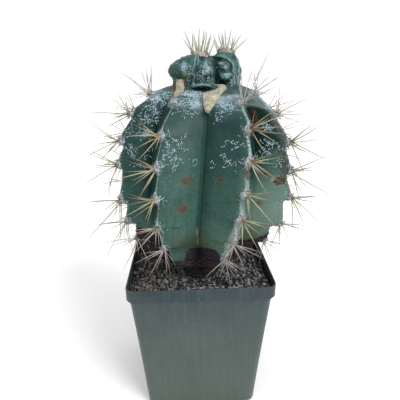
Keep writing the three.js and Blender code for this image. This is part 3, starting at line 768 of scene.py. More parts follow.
def ring_round(way, sides, hint=(0.31, 0.2, 0.93)):
    """Unit vectors square to a way, one for each side, or the same for each of many ways."""
    across = unit(np.cross(way, hint))
    other = np.cross(way, across)
    angle = np.arange(sides)[:, None] * TURN / sides
    return np.cos(angle) * across[..., None, :] + np.sin(angle) * other[..., None, :]


def circle(sides):
    """Cosine and sine at equal turns round a circle."""
    angle = np.linspace(0, TURN, sides, endpoint=False)
    return np.stack([np.cos(angle), np.sin(angle)], -1)


def tube_faces(rings, sides):
    """Quads between rings of points, and one face over each end ring."""
    ring, side = np.meshgrid(np.arange(rings - 1), np.arange(sides), indexing="ij")
    here = ring * sides + side
    beside = ring * sides + (side + 1) % sides
    quads = np.stack([here, beside, beside + sides, here + sides], -1).reshape(-1, 4)
    end = np.arange(sides)[None]
    return [quads, end[:, ::-1], end + (rings - 1) * sides]


def set_mark(mesh, name, values):
    mark = mesh.attributes.new(name, "FLOAT", "POINT")
    mark.data.foreach_set("value", np.asarray(values, np.float32))


def points_of(mesh):
    points = np.zeros(len(mesh.vertices) * 3)
    mesh.vertices.foreach_get("co", points)
    return points.reshape(-1, 3) / MM - [0, 0, POT_HEIGHT]


def combine(piece, tool, operation):
    """Joins a closed tool to a closed piece or cuts it out, and uses the tool up."""
    change = piece.modifiers.new("change", "BOOLEAN")
    change.operation = operation
    change.solver = "MANIFOLD"
    change.object = tool
    graph = bpy.context.evaluated_depsgraph_get()
    finished = bpy.data.meshes.new_from_object(piece.evaluated_get(graph))
    piece.modifiers.clear()
    piece.data = finished
    bpy.data.objects.remove(tool)


def dress(piece, slot_name, *nodes):
    """The piece rides on the object's one body and stands for the nodes. The slot name is not used."""
    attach(piece, "root")
    if nodes:
        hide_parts(*nodes)


# Paints

def tone(red, green, blue):
    """Linear colour of an sRGB one from 0 to 255."""
    parts = []
    for part in (red, green, blue):
        part = part / 255
        parts.append(part / 12.92 if part <= 0.04045 else ((part + 0.055) / 1.055) ** 2.4)
    return (*parts, 1)


class Paint:
    """A node material: a principled shader with helpers for its colour and relief."""

    def __init__(self, name, roughness, specular=0.5):
        self.material = bpy.data.materials.new(name)
        self.material.use_nodes = True
        self.tree = self.material.node_tree
        self.shader = self.tree.nodes["Principled BSDF"]
        self.shader.inputs["Roughness"].default_value = roughness
        self.shader.inputs["Specular IOR Level"].default_value = specular
        self.place = self.tree.nodes.new("ShaderNodeTexCoord").outputs["Object"]

    def link(self, value, socket):
        if isinstance(value, bpy.types.NodeSocket):
            self.tree.links.new(value, socket)
        else:
            socket.default_value = value

    def stretched(self, scale):
        """The object's place with each axis scaled."""
        node = self.tree.nodes.new("ShaderNodeMapping")
        node.inputs["Scale"].default_value = scale
        self.tree.links.new(self.place, node.inputs["Vector"])
        return node.outputs["Vector"]

    def noise(self, grain, detail=4, roughness=0.6, distortion=0.0, place=None):
        """Cloudy value with a grain in mm."""
        node = self.tree.nodes.new("ShaderNodeTexNoise")
        node.inputs["Scale"].default_value = 1 / (grain * MM)
        node.inputs["Detail"].default_value = detail
        node.inputs["Roughness"].default_value = roughness
        node.inputs["Distortion"].default_value = distortion
        self.tree.links.new(place or self.place, node.inputs["Vector"])
        return node.outputs["Fac"]

    def cells(self, grain):
        """Distance from scattered points with a spacing in mm."""
        node = self.tree.nodes.new("ShaderNodeTexVoronoi")
        node.inputs["Scale"].default_value = 1 / (grain * MM)
        self.tree.links.new(self.place, node.inputs["Vector"])
        return node.outputs["Distance"]

    def part(self, axis):
        """One coordinate of the object's place, in metres."""
        node = self.tree.nodes.new("ShaderNodeSeparateXYZ")
        self.tree.links.new(self.place, node.inputs[0])
        return node.outputs[axis]

    def mark(self, name):
        node = self.tree.nodes.new("ShaderNodeAttribute")
        node.attribute_name = name
        return node.outputs["Fac"]

    def marks(self):
        """The three parts of the vector mark."""
        node = self.tree.nodes.new("ShaderNodeAttribute")
        node.attribute_name = "mark"
        split = self.tree.nodes.new("ShaderNodeSeparateXYZ")
        self.tree.links.new(node.outputs["Vector"], split.inputs[0])
        return [split.outputs[i] for i in range(3)]

    def math(self, operation, one, two=0.0):
        node = self.tree.nodes.new("ShaderNodeMath")
        node.operation = operation
        self.link(one, node.inputs[0])
        self.link(two, node.inputs[1])
        return node.outputs[0]

    def span(self, value, low, high, bottom=0.0, top=1.0):
        """The value mapped from low..high to bottom..top, and held there."""
        node = self.tree.nodes.new("ShaderNodeMapRange")
        self.link(value, node.inputs["Value"])
        node.inputs["From Min"].default_value = low
        node.inputs["From Max"].default_value = high
        node.inputs["To Min"].default_value = bottom
        node.inputs["To Max"].default_value = top
        return node.outputs[0]

    def mix(self, share, one, two):
        """Two colours mixed: each is a value of the tree, or sRGB from 0 to 255."""
        node = self.tree.nodes.new("ShaderNodeMix")
        node.data_type = "RGBA"
        self.link(share, node.inputs[0])
        for colour, socket in ((one, node.inputs[6]), (two, node.inputs[7])):
            self.link(tone(*colour) if isinstance(colour, tuple) else colour, socket)
        return node.outputs[2]

    def over(self, base, shade, value, low, high, most=1.0):
        """The shade over the base where the value goes from low to high, up to a share of it."""
        return self.mix(self.span(value, low, high, 0, most), base, shade)

    def tint(self, base, shade, mark, share):
        """The shade over the base by a share of a mark."""
        return self.mix(self.math("MULTIPLY", self.mark(mark), share), base, shade)

    def relief(self, height, depth, after=None):
        """Bump of a height value with a depth in mm."""
        node = self.tree.nodes.new("ShaderNodeBump")
        node.inputs["Strength"].default_value = 1
        node.inputs["Distance"].default_value = depth * MM
        self.link(height, node.inputs["Height"])
        if after:
            self.tree.links.new(after, node.inputs["Normal"])
        self.tree.links.new(node.outputs["Normal"], self.shader.inputs["Normal"])
        return node.outputs["Normal"]

    def colour(self, value):
        self.link(value, self.shader.inputs["Base Color"])

    def gloss(self, value):
        self.link(value, self.shader.inputs["Roughness"])


def skin_paint():
    paint = Paint("cactus_skin", 0.55, 0.3)
    clouds = paint.noise(26, 5)
    streaks = paint.noise(5, 4, place=paint.stretched((1, 1, 0.25)))
    fine = paint.noise(0.9, 3)
    green = paint.over((36, 68, 58), (54, 88, 80), clouds, 0.35, 0.65)
    green = paint.over(green, (64, 100, 92), streaks, 0.45, 0.75, 0.4)
    mottle = paint.noise(2.4, 5, 0.75)
    green = paint.over(green, (78, 112, 104), mottle, 0.5, 0.68, 0.35)
    green = paint.over(green, (26, 52, 46), mottle, 0.5, 0.32, 0.35)
    # Painted shade: the skin is painted darker towards the top
    green = paint.tint(green, (20, 50, 50), "young", 0.62)
    # Painted shade on the faces right of the front furrow and beside the two front crests
    green = paint.tint(green, (12, 38, 34), "deep", 0.6)
    green = paint.tint(green, (104, 126, 114), "pale", 0.55)
    blotches = paint.noise(4, 5, 0.75)
    lobed = paint.over((14, 50, 42), (52, 98, 98), blotches, 0.42, 0.6)
    flecked = paint.span(paint.noise(2.2, 5, 0.8), 0.46, 0.56)
    # Painted highlights: pale marks on the head, broken up by flecked noise
    painted_highlight = paint.span(paint.math("MULTIPLY", paint.mark("painted_highlight"), flecked), 0.1, 0.6, 0, 0.8)
    green = paint.tint(green, lobed, "head", 0.8)
    # A deeper green on some lobes, and painted shade in the head's hollows and grooves
    green = paint.tint(green, (14, 48, 34), "dark_green_and_shade", 0.7)
    green = paint.mix(painted_highlight, green, (140, 170, 176))
    green = paint.tint(green, (92, 128, 66), "bright", 0.7)
    green = paint.tint(green, (70, 76, 44), "olive", 0.85)
    green = paint.tint(green, (160, 150, 116), "line", 0.85)
    speck = paint.span(paint.cells(1.15), 0.36, 0.22)
    speck = paint.math("MULTIPLY", speck, paint.span(paint.noise(4.5, 3), 0.35, 0.55))
    speck = paint.math("MULTIPLY", speck, paint.mark("downy"))
    green = paint.tint(green, (112, 146, 160), "downy", 0.34)
    green = paint.mix(speck, green, (176, 200, 212))
    edge = paint.math("ADD", paint.mark("edge"), paint.span(paint.noise(2.2, 5, 0.75), 0.25, 0.75, -0.5, 0.4))
    green = paint.over(green, (116, 142, 138), edge, 0.4, 0.8, 0.8)
    patch = paint.math("ADD", paint.mark("patch"), paint.span(paint.noise(5, 4), 0.2, 0.8, -0.3, 0.3))
    green = paint.over(green, (116, 126, 114), patch, 0.3, 0.8, 0.85)
    # Painted shade along the furrows
    green = paint.tint(green, (20, 44, 38), "furrow", 0.5)
    ragged = paint.span(paint.noise(3.0, 5), 0.25, 0.75, -0.35, 0.35)
    # Dark rim by the right side crest: partly corky skin and partly painted shade from that rib
    corky_rim_and_shade = paint.span(paint.math("ADD", paint.mark("corky_rim_and_shade"), ragged), 0.35, 0.9, 0, 0.75)
    green = paint.mix(corky_rim_and_shade, green, paint.over((20, 28, 24), (74, 72, 62), mottle, 0.4, 0.6))
    # Painted shade under the stem's low bulge and in a hollow by the right shoulder
    green = paint.tint(green, (18, 24, 22), "gloom", 0.8)
    fibres = paint.noise(2.4, 5, place=paint.stretched((0.6, 0.6, 2.6)))
    streaked = paint.noise(2.2, 5, place=paint.stretched((1, 1, 0.3)))
    tan = paint.over((140, 134, 112), (184, 182, 166), streaked, 0.35, 0.65)
    patches = paint.noise(5.5, 5, 0.65)
    tan = paint.over(tan, (120, 104, 86), patches, 0.5, 0.68, 0.6)
    tan = paint.over(tan, (192, 192, 184), patches, 0.46, 0.34, 0.5)
    small_ragged = paint.math("MULTIPLY", ragged, 0.45)
    scar_edge = paint.math("ADD", paint.mark("scar"), small_ragged)
    tan_share = paint.span(scar_edge, 0.42, 0.54)
    rim_share = paint.span(scar_edge, 0.24, 0.4, 0, 0.75)
    green = paint.mix(rim_share, green, (44, 38, 32))
    green = paint.mix(tan_share, green, tan)
    bark = paint.over((13, 14, 18), (68, 61, 65), fibres, 0.35, 0.7)
    bark_share = paint.span(paint.math("ADD", paint.mark("cork"), ragged), 0.35, 0.62)
    green = paint.mix(bark_share, green, bark)
    red = paint.over((38, 26, 26), (92, 54, 46), paint.noise(1.8, 4), 0.35, 0.65)
    torn = paint.math("ADD", 1, paint.math("MULTIPLY", ragged, 2.2))
    red_share = paint.span(paint.math("MULTIPLY", paint.mark("wound"), torn), 0.4, 1.05, 0, 0.85)
    green = paint.over(green, (72, 72, 42), paint.mark("wound"), 0, 0.6, 0.5)
    matted = paint.noise(1.6, 4, place=paint.stretched((0.35, 0.6, 1.3)))
    lilac = paint.over((92, 108, 118), (200, 204, 214), matted, 0.4, 0.6)
    fuzz = paint.math("ADD", paint.mark("fuzz"), small_ragged)
    green = paint.over(green, lilac, fuzz, 0.3, 0.8, 0.9)
    green = paint.mix(red_share, green, red)
    frayed = paint.math("MULTIPLY", ragged, paint.span(paint.mark("dark_wound"), 0, 0.3, 0, 1.1))
    rings = paint.math("ADD", paint.mark("dark_wound"), frayed)
    stippled = paint.span(paint.noise(1.8, 4, 0.7), 0.5, 0.6)
    cream = paint.math("MULTIPLY", paint.span(rings, 0.14, 0.3), stippled)
    green = paint.mix(cream, green, (150, 146, 122))
    brown = paint.over((34, 26, 25), (116, 104, 88), paint.noise(1.2, 4, 0.7), 0.52, 0.62)
    green = paint.over(green, brown, rings, 0.34, 0.5)
    # Painted shade in the head's grooves and in the seam where the head meets the stem
    green = paint.tint(green, (12, 34, 26), "painted_crevice_shade", 0.8)
    paint.colour(green)
    rough_parts = paint.math("ADD", bark_share, tan_share)
    paint.gloss(paint.span(rough_parts, 0, 1, 0.5, 0.85))
    dull = paint.math("ADD", paint.mark("deep"), bark_share)
    paint.link(paint.span(dull, 0, 1, 0.3, 0.03), paint.shader.inputs["Specular IOR Level"])
    waves = paint.relief(clouds, 1.2)
    grain = paint.relief(fine, 0.1, waves)
    paint.relief(paint.math("MULTIPLY", fibres, rough_parts), 1.0, grain)
    return paint.material


def wool_paint(name, light, dark, stain=0.0):
    paint = Paint(name, 0.95, 0.15)
    tufts = paint.noise(1.3, 4, 0.75)
    blotches = paint.noise(3.5, 3)
    wool = paint.over(dark, light, tufts, 0.42, 0.58)
    wool = paint.over(wool, (146, 126, 118), blotches, 0.5, 0.7, stain)
    paint.colour(wool)
    paint.relief(tufts, 0.5)
    return paint.material


def spine_paint():
    """Mark x runs from 0 at the foot to 1 at the tip, y is the age, and z a draw for each spine."""
    paint = Paint("spine", 0.5, 0.4)
    reach, age, draw = paint.marks()
    flaws = paint.noise(1.5, 4)
    young = paint.over((112, 90, 68), (160, 157, 122), reach, 0.0, 0.25)
    young = paint.over(young, (82, 72, 68), reach, 0.3, 0.85)
    dry = paint.over((184, 174, 170), (124, 114, 112), reach, 0.1, 0.9)
    shade = paint.mix(age, young, dry)
    ruddy = paint.over((96, 34, 30), (158, 146, 118), reach, 0.1, 0.45)
    shade = paint.mix(paint.math("MULTIPLY", age, -1.0), shade, ruddy)
    shade = paint.over(shade, (180, 176, 148), draw, 0.2, 1, 0.5)
    shade = paint.over(shade, (86, 72, 64), draw, -0.3, -1, 0.5)
    shade = paint.over(shade, (74, 62, 54), flaws, 0.5, 0.72, 0.35)
    paint.colour(shade)
    paint.relief(flaws, 0.15)
    return paint.material


def grit_paint():
    """Mark x is a draw for each grain, y how much of it is tan and z how dark it is."""
    paint = Paint("grit", 0.9, 0.25)
    draw, tan, dark = paint.marks()
    pores = paint.noise(0.7, 5, 0.7)
    stone = paint.over((20, 22, 25), (178, 180, 180), draw, -1, 1)
    stone = paint.mix(tan, stone, (104, 86, 70))
    stone = paint.over(stone, (44, 41, 40), pores, 0.42, 0.66)
    stone = paint.mix(dark, stone, (20, 19, 20))
    paint.colour(stone)
    paint.relief(pores, 0.5)
    return paint.material


def pot_paint():
    paint = Paint("pot_plastic", 0.45, 0.25)
    height = paint.part(2)
    clouds = paint.noise(45, 4)
    drawn = paint.noise(3, 4, place=paint.stretched((1, 1, 0.06)))
    scuffs = paint.noise(1.6, 5, 0.7, 0.6, place=paint.stretched((0.3, 0.3, 1.6)))
    dust = paint.noise(7, 6, 0.75)
    rim = (POT_HEIGHT - LIP_HEIGHT) * MM
    # Painted light and shade: lighter towards the bottom, darker towards the top, darker still from the lip
    # up
    slate = paint.over((70, 79, 73), (63, 74, 71), height, 0.02, 0.085)
    slate = paint.over(slate, (48, 62, 63), height, 0.08, rim)
    slate = paint.over(slate, (37, 50, 56), height, rim - 0.0005, rim + 0.0005)
    slate = paint.over(slate, (78, 92, 90), clouds, 0.3, 0.7, 0.3)
    slate = paint.over(slate, (98, 108, 104), drawn, 0.45, 0.75, 0.16)
    slate = paint.over(slate, (118, 122, 114), dust, 0.56, 0.72, 0.2)
    slate = paint.over(slate, (140, 148, 146), scuffs, 0.66, 0.74, 0.4)
    paint.colour(slate)
    paint.gloss(paint.span(dust, 0.4, 0.7, 0.36, 0.6))
    skin_relief = paint.relief(paint.noise(0.8, 3), 0.05)
    paint.relief(paint.noise(30, 2), 0.9, skin_relief)
    return paint.material


def stage_paint():
    paint = Paint("stage", 1.0, 0.0)
    grain = paint.noise(400, 2)
    paint.colour(paint.mix(grain, (246, 246, 246), (250, 250, 250)))
    return paint.material


# Cactus body: the ribbed stem with the lobed head, joined in one mesh

STEM_COLUMNS = 20
CROWDING = 0.55
STEM_RING_SHARE = 0.255
NECK_STEP = 0.45
HEAD_CELL = 0.62
HEAD_LOW = np.array([-31.0, -26, 141])
HEAD_SIZE = np.array([78, 78, 54])
HEAD_FOOT = 148

# Relief of the skin and the head: depth, grain and seed of each layer of noise
SKIN_WAVES = ((0.55, 17, 1), (0.22, 5, 2), (0.07, 1.6, 3))
HEAD_LUMPS = ((1.0, 7, 21), (0.6, 3.2, 22))

# Painted shade on the faces: how much darker the left, front and right ones are painted
LEFT_SHADE = 1.5
FRONT_SHADE = 0.62
RIGHT_SHADE = 1.3

# The right front rib has a worn edge. A tan line runs up beside the front furrow, and the scar left of
# the azimuth below is a narrow strip
WORN_RIB = 2
LINE_AZIMUTH = -math.radians(8.3)
LINE_RADIUS = 46
LINE_HALF = 0.36
LEFT_SCAR_AZIMUTH = -math.radians(20)
SCAR_POWER = 5


def face_shares(count):
    """Places across one sector from crest to crest, closer together at the crests and in the furrow."""
    even = np.arange(count) / count
    half = even - CROWDING * np.sin(TURN * even) / TURN
    return np.concatenate([half, 1 + half])


def make_stem():
    shares = face_shares(STEM_COLUMNS)
    k = np.repeat(np.arange(len(RIBS)), len(shares))
    along = np.tile(shares, len(RIBS))
    buried = SOIL_TOP - NECK_DEPTH * np.sin(np.linspace(1, 0.05, 9) * math.pi / 2) * 0.995
    rings = np.arange(3, RINGS - 1 + 1e-6, STEM_RING_SHARE)
    z = np.concatenate([buried, np.arange(SOIL_TOP, HEIGHTS[3] - 0.2, NECK_STEP), height_of(rings)])
    points = skin(k[None], along[None], z[:, None])
    centre = np.concatenate([axis_at(z), z[:, None]], 1)[:, None]
    out = unit((points - centre) * [1, 1, 0])
    points = points + out * stem_relief(points, along[None], z[:, None])[..., None]
    shape = Shape()
    shape.add(points.reshape(-1, 3), tube_faces(len(z), len(k)))
    return shape.build("cactus_body", [])


def stem_relief(points, along, z):
    """Height of the skin's fine relief: slow waves, pleats in the furrows and wrinkles on the neck."""
    waves = layered(points, SKIN_WAVES)
    into = np.abs(along - 1)
    pleats = -0.35 * np.cos(into * 40) * clamp(1 - into / 0.16) * ribbing(z)
    sway = 3.5 * rough(points * [0.35, 0.35, 1], 7, 4) + 1.2 * rough(points, 4, 5)
    wrinkles = np.sin((z + sway) * TURN / 3.4)
    wrinkles = 0.75 * wrinkles + 0.5 * rough(points * [1, 1, 2.2], 2.4, 6) - 0.4
    neck = cork(points + [0, 0, 4] * rough(points, 9, 7)[..., None])
    return lerp(waves + pleats, wrinkles + 0.8 * rough(points, 9, 8), neck)


def make_head():
    counts = (HEAD_SIZE / HEAD_CELL).astype(int)
    grid = np.stack(np.meshgrid(*[np.arange(n) for n in counts], indexing="ij"), -1)
    spots = HEAD_LOW + HEAD_CELL * grid
    field = head_field(spots) + layered(spots, HEAD_LUMPS)
    field = field - EDGE_HEIGHT * head_edges(spots) + GROOVE_DEPTH * head_grooves(spots)
    points, quads = surface_net(field, HEAD_LOW, HEAD_CELL)
    shape = Shape()
    shape.add(points, quads)
    return shape.build("head", [])


def make_body():
    body = make_stem()
    combine(body, make_head(), "UNION")
    body.data.polygons.foreach_set("use_smooth", np.ones(len(body.data.polygons), bool))
    body.data.materials.clear()
    body.data.materials.append(skin_paint())
    mark_body(body.data, points_of(body.data))
    dress(body, "cactus_skin", "cactus_stem")


def spot_weight(points, kind):
    """1 in the spots of a kind, fading outside them."""
    weight = np.zeros(len(points))
    for place, half, spot_kind in SPOTS:
        if spot_kind == kind:
            power = SCAR_POWER if kind == "scar" else 2
            off = (np.abs((points - place) / np.array(half)) ** power).sum(1) ** (1 / power)
            weight = np.maximum(weight, clamp(1.5 - off))
    return weight


def face_place(azimuth, z, k):
    """Place across the sector after crest k: 0 and 2 at its crests."""
    first = crest_azimuth(np.full(len(z), k), z)
    second = crest_azimuth(np.full(len(z), k + 1), z)
    return 2 * (azimuth - first) / (second - first)


def shaded_face(azimuth, z):
    """1 on the faces painted darker as shade: right of the front furrow, and beside the two front crests."""
    left, front, right = (face_place(azimuth, z, k) for k in range(3))
    left_reach = between(left, -0.05, 0.25, 1.98, 1 / 12) * lerp(0.4, 1, ramp(left, 0.7, 1 / 3))
    right_end = lerp(1.1, 1.9, ramp(z, 104, 14))
    shades = (
        LEFT_SHADE * left_reach * between(z, 52, 24, 156, 10),
        FRONT_SHADE * between(front, 0.85, 0.25, 1.95, 1 / 6) * between(z, 40, 60, 154, 14),
        RIGHT_SHADE * between(right, 0, 1 / 8, right_end, 1 / 3) * between(z, 84, 16, 152, 10),
    )
    return np.maximum.reduce(shades)


def pale_face(azimuth, z):
    """1 on the paler low face left of the right side rib."""
    right = face_place(azimuth, z, 2)
    return between(right, 0.5, 0.25, 2.1, 1 / 6) * between(z, 34, 14, 100, 26)


def furrow_away(azimuth, z):
    """Distance along the skin to the nearest furrow, in mm."""
    away = np.full(len(z), 1e9)
    for k in range(len(RIBS)):
        first = crest_azimuth(np.full(len(z), k), z)
        second = crest_azimuth(np.full(len(z), (k + 1) % len(RIBS)), z)
        valley = first + ((second - first) % TURN) / 2
        turn = np.abs((azimuth - valley + math.pi) % TURN - math.pi)
        away = np.minimum(away, turn * crest_curve(z) * (1 - FURROW_DEPTH))
    return away


def downy_share(points):
    """1 where the flecks on the shoulders are dense enough to blend."""
    weight = np.zeros(len(points))
    for sector, along, ring, wide, tall, _, dense in FLECK_FIELDS:
        if dense:
            middle = skin(sector, along, height_of(ring))
            off = points - middle
            reach = np.hypot(np.linalg.norm(off[:, :2], axis=1) / wide, off[:, 2] / tall)
            weight = np.maximum(weight, dense * clamp(1.7 - reach))
    return weight


def mark_body(mesh, points):
    """Where the skin is corky, pale, scarred or downy, and where shade and highlights are painted on it."""
    z = points[:, 2]
    rib, away = rib_place(points)
    azimuth = azimuth_of(points)
    field = head_field(points)
    on_head = clamp(1.5 - np.abs(field) / 1.6) * (z > HEAD_FOOT)
    on_stem = 1 - on_head
    # Sheen spots are painted highlights; dark lobes are a deeper green with painted shade in the hollows
    for kind in ("fuzz", "bright", "painted_highlight", "dark_green_and_shade", "wound", "dark_wound"):
        set_mark(mesh, kind, spot_weight(points, kind))
    set_mark(mesh, "cork", cork(points))
    set_mark(mesh, "head", on_head)
    edge_half = np.where(rib == WORN_RIB, lerp(2.9, 1.6, ramp(z, 70, 60)), 0.6)
    edge = clamp(1.6 - away / edge_half) * on_stem * ribbing(z) * ramp_down(z, 153, 4)
    set_mark(mesh, "edge", np.maximum(edge, head_edges(points) * on_head))
    strip = np.where(azimuth < LEFT_SCAR_AZIMUTH, clamp(1.6 - np.abs(points[:, 0] + 14.6) / 4.4), 1)
    scar = scar_fill(azimuth, z) * strip * on_stem
    centre, half = LOBES[-1]
    off_flap = clamp(2.2 * np.linalg.norm((points - centre) / np.array(half), axis=1) - 2.6)
    set_mark(mesh, "scar", np.maximum(scar, spot_weight(points, "scar")) * off_flap)
    set_mark(mesh, "downy", np.maximum(downy_share(points) * on_stem, 0.1 * on_head))
    # Painted shade: darker towards the top of the stem, a little less on the head
    set_mark(mesh, "young", ramp(z, 92, 42) * (1 - 0.35 * on_head))
    # Painted shade on the faces right of the front furrow and beside the two front crests
    set_mark(mesh, "deep", shaded_face(azimuth, z) * on_stem)
    set_mark(mesh, "pale", pale_face(azimuth, z) * on_stem)
    patch = clamp(1.5 - away / 5) * clamp(1.3 - np.abs(z - 47) / 14) * (rib == WORN_RIB)
    set_mark(mesh, "patch", patch)
    line = clamp(1.5 - np.abs(azimuth - LINE_AZIMUTH) * LINE_RADIUS / LINE_HALF)
    set_mark(mesh, "line", line * between(z, 29, 2, 53, 3))
    set_mark(mesh, "olive", clamp(1 - np.abs(z - 34) / 20) * clamp(away / 22))
    # Painted shade along the furrows, left out where a scar fills them
    furrow = clamp(1.4 - furrow_away(azimuth, z) / 2.2) * on_stem * ramp(z, 34, 8)
    set_mark(mesh, "furrow", furrow * (1 - scar_fill(azimuth, z)))
    # Dark rim by the right side crest: partly corky skin and partly painted shade from that rib
    corky_rim_and_shade = between(face_place(azimuth, z, 2), 1.55, 0.25, 1.99, 1 / 14) * between(z, 78, 10, 146, 8)
    set_mark(mesh, "corky_rim_and_shade", corky_rim_and_shade * on_stem)
    # Painted shade under the stem's low bulge, reaching higher on the left, and in the gloom spots
    under = np.maximum(0.8 * ramp_down(z, 34, 18), 0.4 * ramp_down(z, 58, 22) * (azimuth < -0.2)) * on_stem
    set_mark(mesh, "gloom", np.maximum(under, spot_weight(points, "gloom")))
    # Painted shade in the head's grooves and in the seam where the head meets the stem
    seam = clamp(1 - np.abs(field) / 2.2) * ramp_down(z, 162.5, 4) * (z > HEAD_FOOT) * off_flap
    set_mark(mesh, "painted_crevice_shade", np.maximum(head_grooves(points) * on_head, seam))


# Wool and spines of the ribs

SPINE_RINGS = 8
SPINE_SIDES = 6
SPINE_RADIUS = 0.5
SHORT_SPINES = 3
SHORT_LEAN = (28, 62)
SHORT_LENGTH = (11, 20)
SHORT_THICKNESS = 0.62
HAIR_RADIUS = 0.11
FUZZ_RADIUS = 0.13
HAIR_LEAN = 1.35
HAIR_LENGTH = (1.2, 3.0)
CUSHION_HAIRS = 110
WOOL_FLUFF = ((0.45, 1.3, 31), (0.25, 0.6, 32))
WOOL_STEP = 0.17
STRIP_HALF = 0.14
WORN_STRIP_HALF = 0.7
CUSHION_LIFT = 1.6
CUSHION_HALF = 2.9
CUSHION_HEIGHT = 2.1
CUSHION_SPREAD = 4.4
WORN_RING = 12
RUDDY_AREOLE = (2, 1)


def solid_spines(node):
    """Tip and foot of each straight spine of a CAD node: a tip is a corner with only long edges."""
    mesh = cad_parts[node].data
    points = points_of(mesh)
    places, first = np.unique(np.round(points, 2), axis=0, return_inverse=True)
    first = first.ravel()
    near = [[] for _ in places]
    for edge in mesh.edges:
        a, b = first[edge.vertices[0]], first[edge.vertices[1]]
        if a != b:
            near[a].append(b)
            near[b].append(a)
    least = 5.0
    found = []
    for i, others in enumerate(near):
        if len(others) < 3:
            continue
        ends = places[sorted(set(others))]
        if np.linalg.norm(ends - places[i], axis=1).min() > least:
            found.append((places[i], ends.mean(0)))
    return found


def spine_shape(shape, foot, tip, bend, radius, mark, paint):
    """A stiff, slightly bent awl: it swells at its foot and thins to a point."""
    t = np.linspace(0, 1, SPINE_RINGS)
    way = unit(tip - foot)
    middle = foot + (tip - foot) * t[:, None] + bend * (4 * t * (1 - t))[:, None]
    thick = radius * (0.16 + 0.84 * (1 - t ** 1.9)) * (1 + 0.35 * np.exp(-(t / 0.06) ** 2))
    points = middle[:, None] + thick[:, None, None] * ring_round(way, SPINE_SIDES)
    marks = np.zeros((SPINE_RINGS, SPINE_SIDES, 3))
    marks[..., 0] = t[:, None]
    marks[..., 1:] = mark
    shape.add(points.reshape(-1, 3), tube_faces(SPINE_RINGS, SPINE_SIDES), paint, marks.reshape(-1, 3))


def hair_shape(shape, feet, tips, radius, paint):
    """Short straight hairs, three-sided, from many feet at once."""
    base = feet[:, None] + radius * ring_round(unit(tips - feet), 3)
    points = np.concatenate([base, tips[:, None]], 1)
    start = np.arange(len(feet))[:, None, None] * 4
    faces = start + np.array([[0, 1, 3], [1, 2, 3], [2, 0, 3], [2, 1, 0]])
    shape.add(points.reshape(-1, 3), faces.reshape(-1, 3), paint)


def wool_strip(shape, k, paint):
    """Wool along one crest: a thin cord that swells into a cushion at each areole."""
    rings = np.arange(AREOLES[k][-1] - 1, AREOLES[k][0] + 2.01, WOOL_STEP)
    z = height_of(rings)
    near = nearness(k, z, CUSHION_SPREAD)
    broad = WORN_STRIP_HALF if k == WORN_RIB else STRIP_HALF
    fresh = lerp(0.5, 1, ramp(rings, WORN_RING, 10))
    half = (broad + CUSHION_HALF * near ** 1.5) * fresh
    height = (0.22 * broad + CUSHION_HEIGHT * near ** 1.2) * fresh
    fade = clamp(np.minimum(rings - rings[0], rings[-1] - rings) / 0.6) ** 0.5
    half, height = half * (0.3 + 0.7 * fade), height * fade
    angle = np.linspace(-0.5, 0.5, 11) * math.pi
    across = np.sin(angle)
    share = half[:, None] * across / face_width(z)[:, None]
    sector = np.where(share < 0, (k - 1) % len(RIBS), k)
    along = np.where(share < 0, 2 + share, share)
    base = skin(sector, along, z[:, None])
    out, _, side = crest_frame(np.full(len(z), k), z)
    lift = height[:, None] * np.cos(angle) ** 0.7
    top = base + out[:, None] * lift[..., None] + side[:, None] * (0.25 * half[:, None] * across)[..., None]
    fluff = layered(top, WOOL_FLUFF) * (0.25 + near[:, None]) * fade[:, None]
    top = top + out[:, None] * fluff[..., None]
    under = base[:, ::-2][:, 1:-1] - out[:, None] * 0.9
    points = np.concatenate([top, under], 1)
    points = points[:, ::-1]
    shape.add(points.reshape(-1, 3), tube_faces(len(z), points.shape[1]), paint)


def leaning(out, up, side, lean, turn):
    """Unit vectors that lean away from the outward one, turned round it from the upward one."""
    lean, turn = np.asarray(lean)[..., None], np.asarray(turn)[..., None]
    return out * np.cos(lean) + np.sin(lean) * (up * np.cos(turn) + side * np.sin(turn))


def make_rib(k):
    name = RIBS[k][0]
    node = f"spines_{name}"
    rng = np.random.default_rng(100 + k)
    shape = Shape()
    wool_strip(shape, k, 0)
    z = height_of(AREOLES[k])
    ribs = np.full(len(z), k)
    out, up, side = crest_frame(ribs, z)
    roots = crest_point(ribs, z) + out * CUSHION_LIFT
    seats = list(zip(roots, out, up, side))
    for tip, foot in solid_spines(node):
        way = unit(foot - tip)
        along = np.sum((roots - tip) * way, 1)
        off = np.linalg.norm(roots - tip - along[:, None] * way, axis=1)
        i = int(np.argmin(off))
        add_spine(shape, rng, seats[i], tip, spine_age(k, i, z[i], rng), 1)
    for i, seat in enumerate(seats):
        for _ in range(SHORT_SPINES):
            lean = math.radians(rng.uniform(*SHORT_LEAN))
            turn = rng.uniform(0, TURN)
            tip = roots[i] + leaning(out[i], up[i], side[i], lean, turn) * rng.uniform(*SHORT_LENGTH)
            add_spine(shape, rng, seat, tip, spine_age(k, i, z[i], rng), SHORT_THICKNESS)
        count = CUSHION_HAIRS
        turn = rng.uniform(0, TURN, count)
        lean = np.sqrt(rng.uniform(0, 1, count)) * HAIR_LEAN
        spread = np.sin(lean)[:, None]
        way = leaning(out[i], up[i], side[i], lean, turn)
        spot = spread * (up[i] * 4.0 * np.cos(turn)[:, None] + side[i] * 2.3 * np.sin(turn)[:, None])
        feet = roots[i] - out[i] * (0.6 + 1.6 * spread ** 2) + spot
        hair_shape(shape, feet, feet + way * rng.uniform(*HAIR_LENGTH, count)[:, None], HAIR_RADIUS, 0)
    piece = shape.build(f"{node}_wool", [WOOL, SPINE])
    dress(piece, "spines", node)


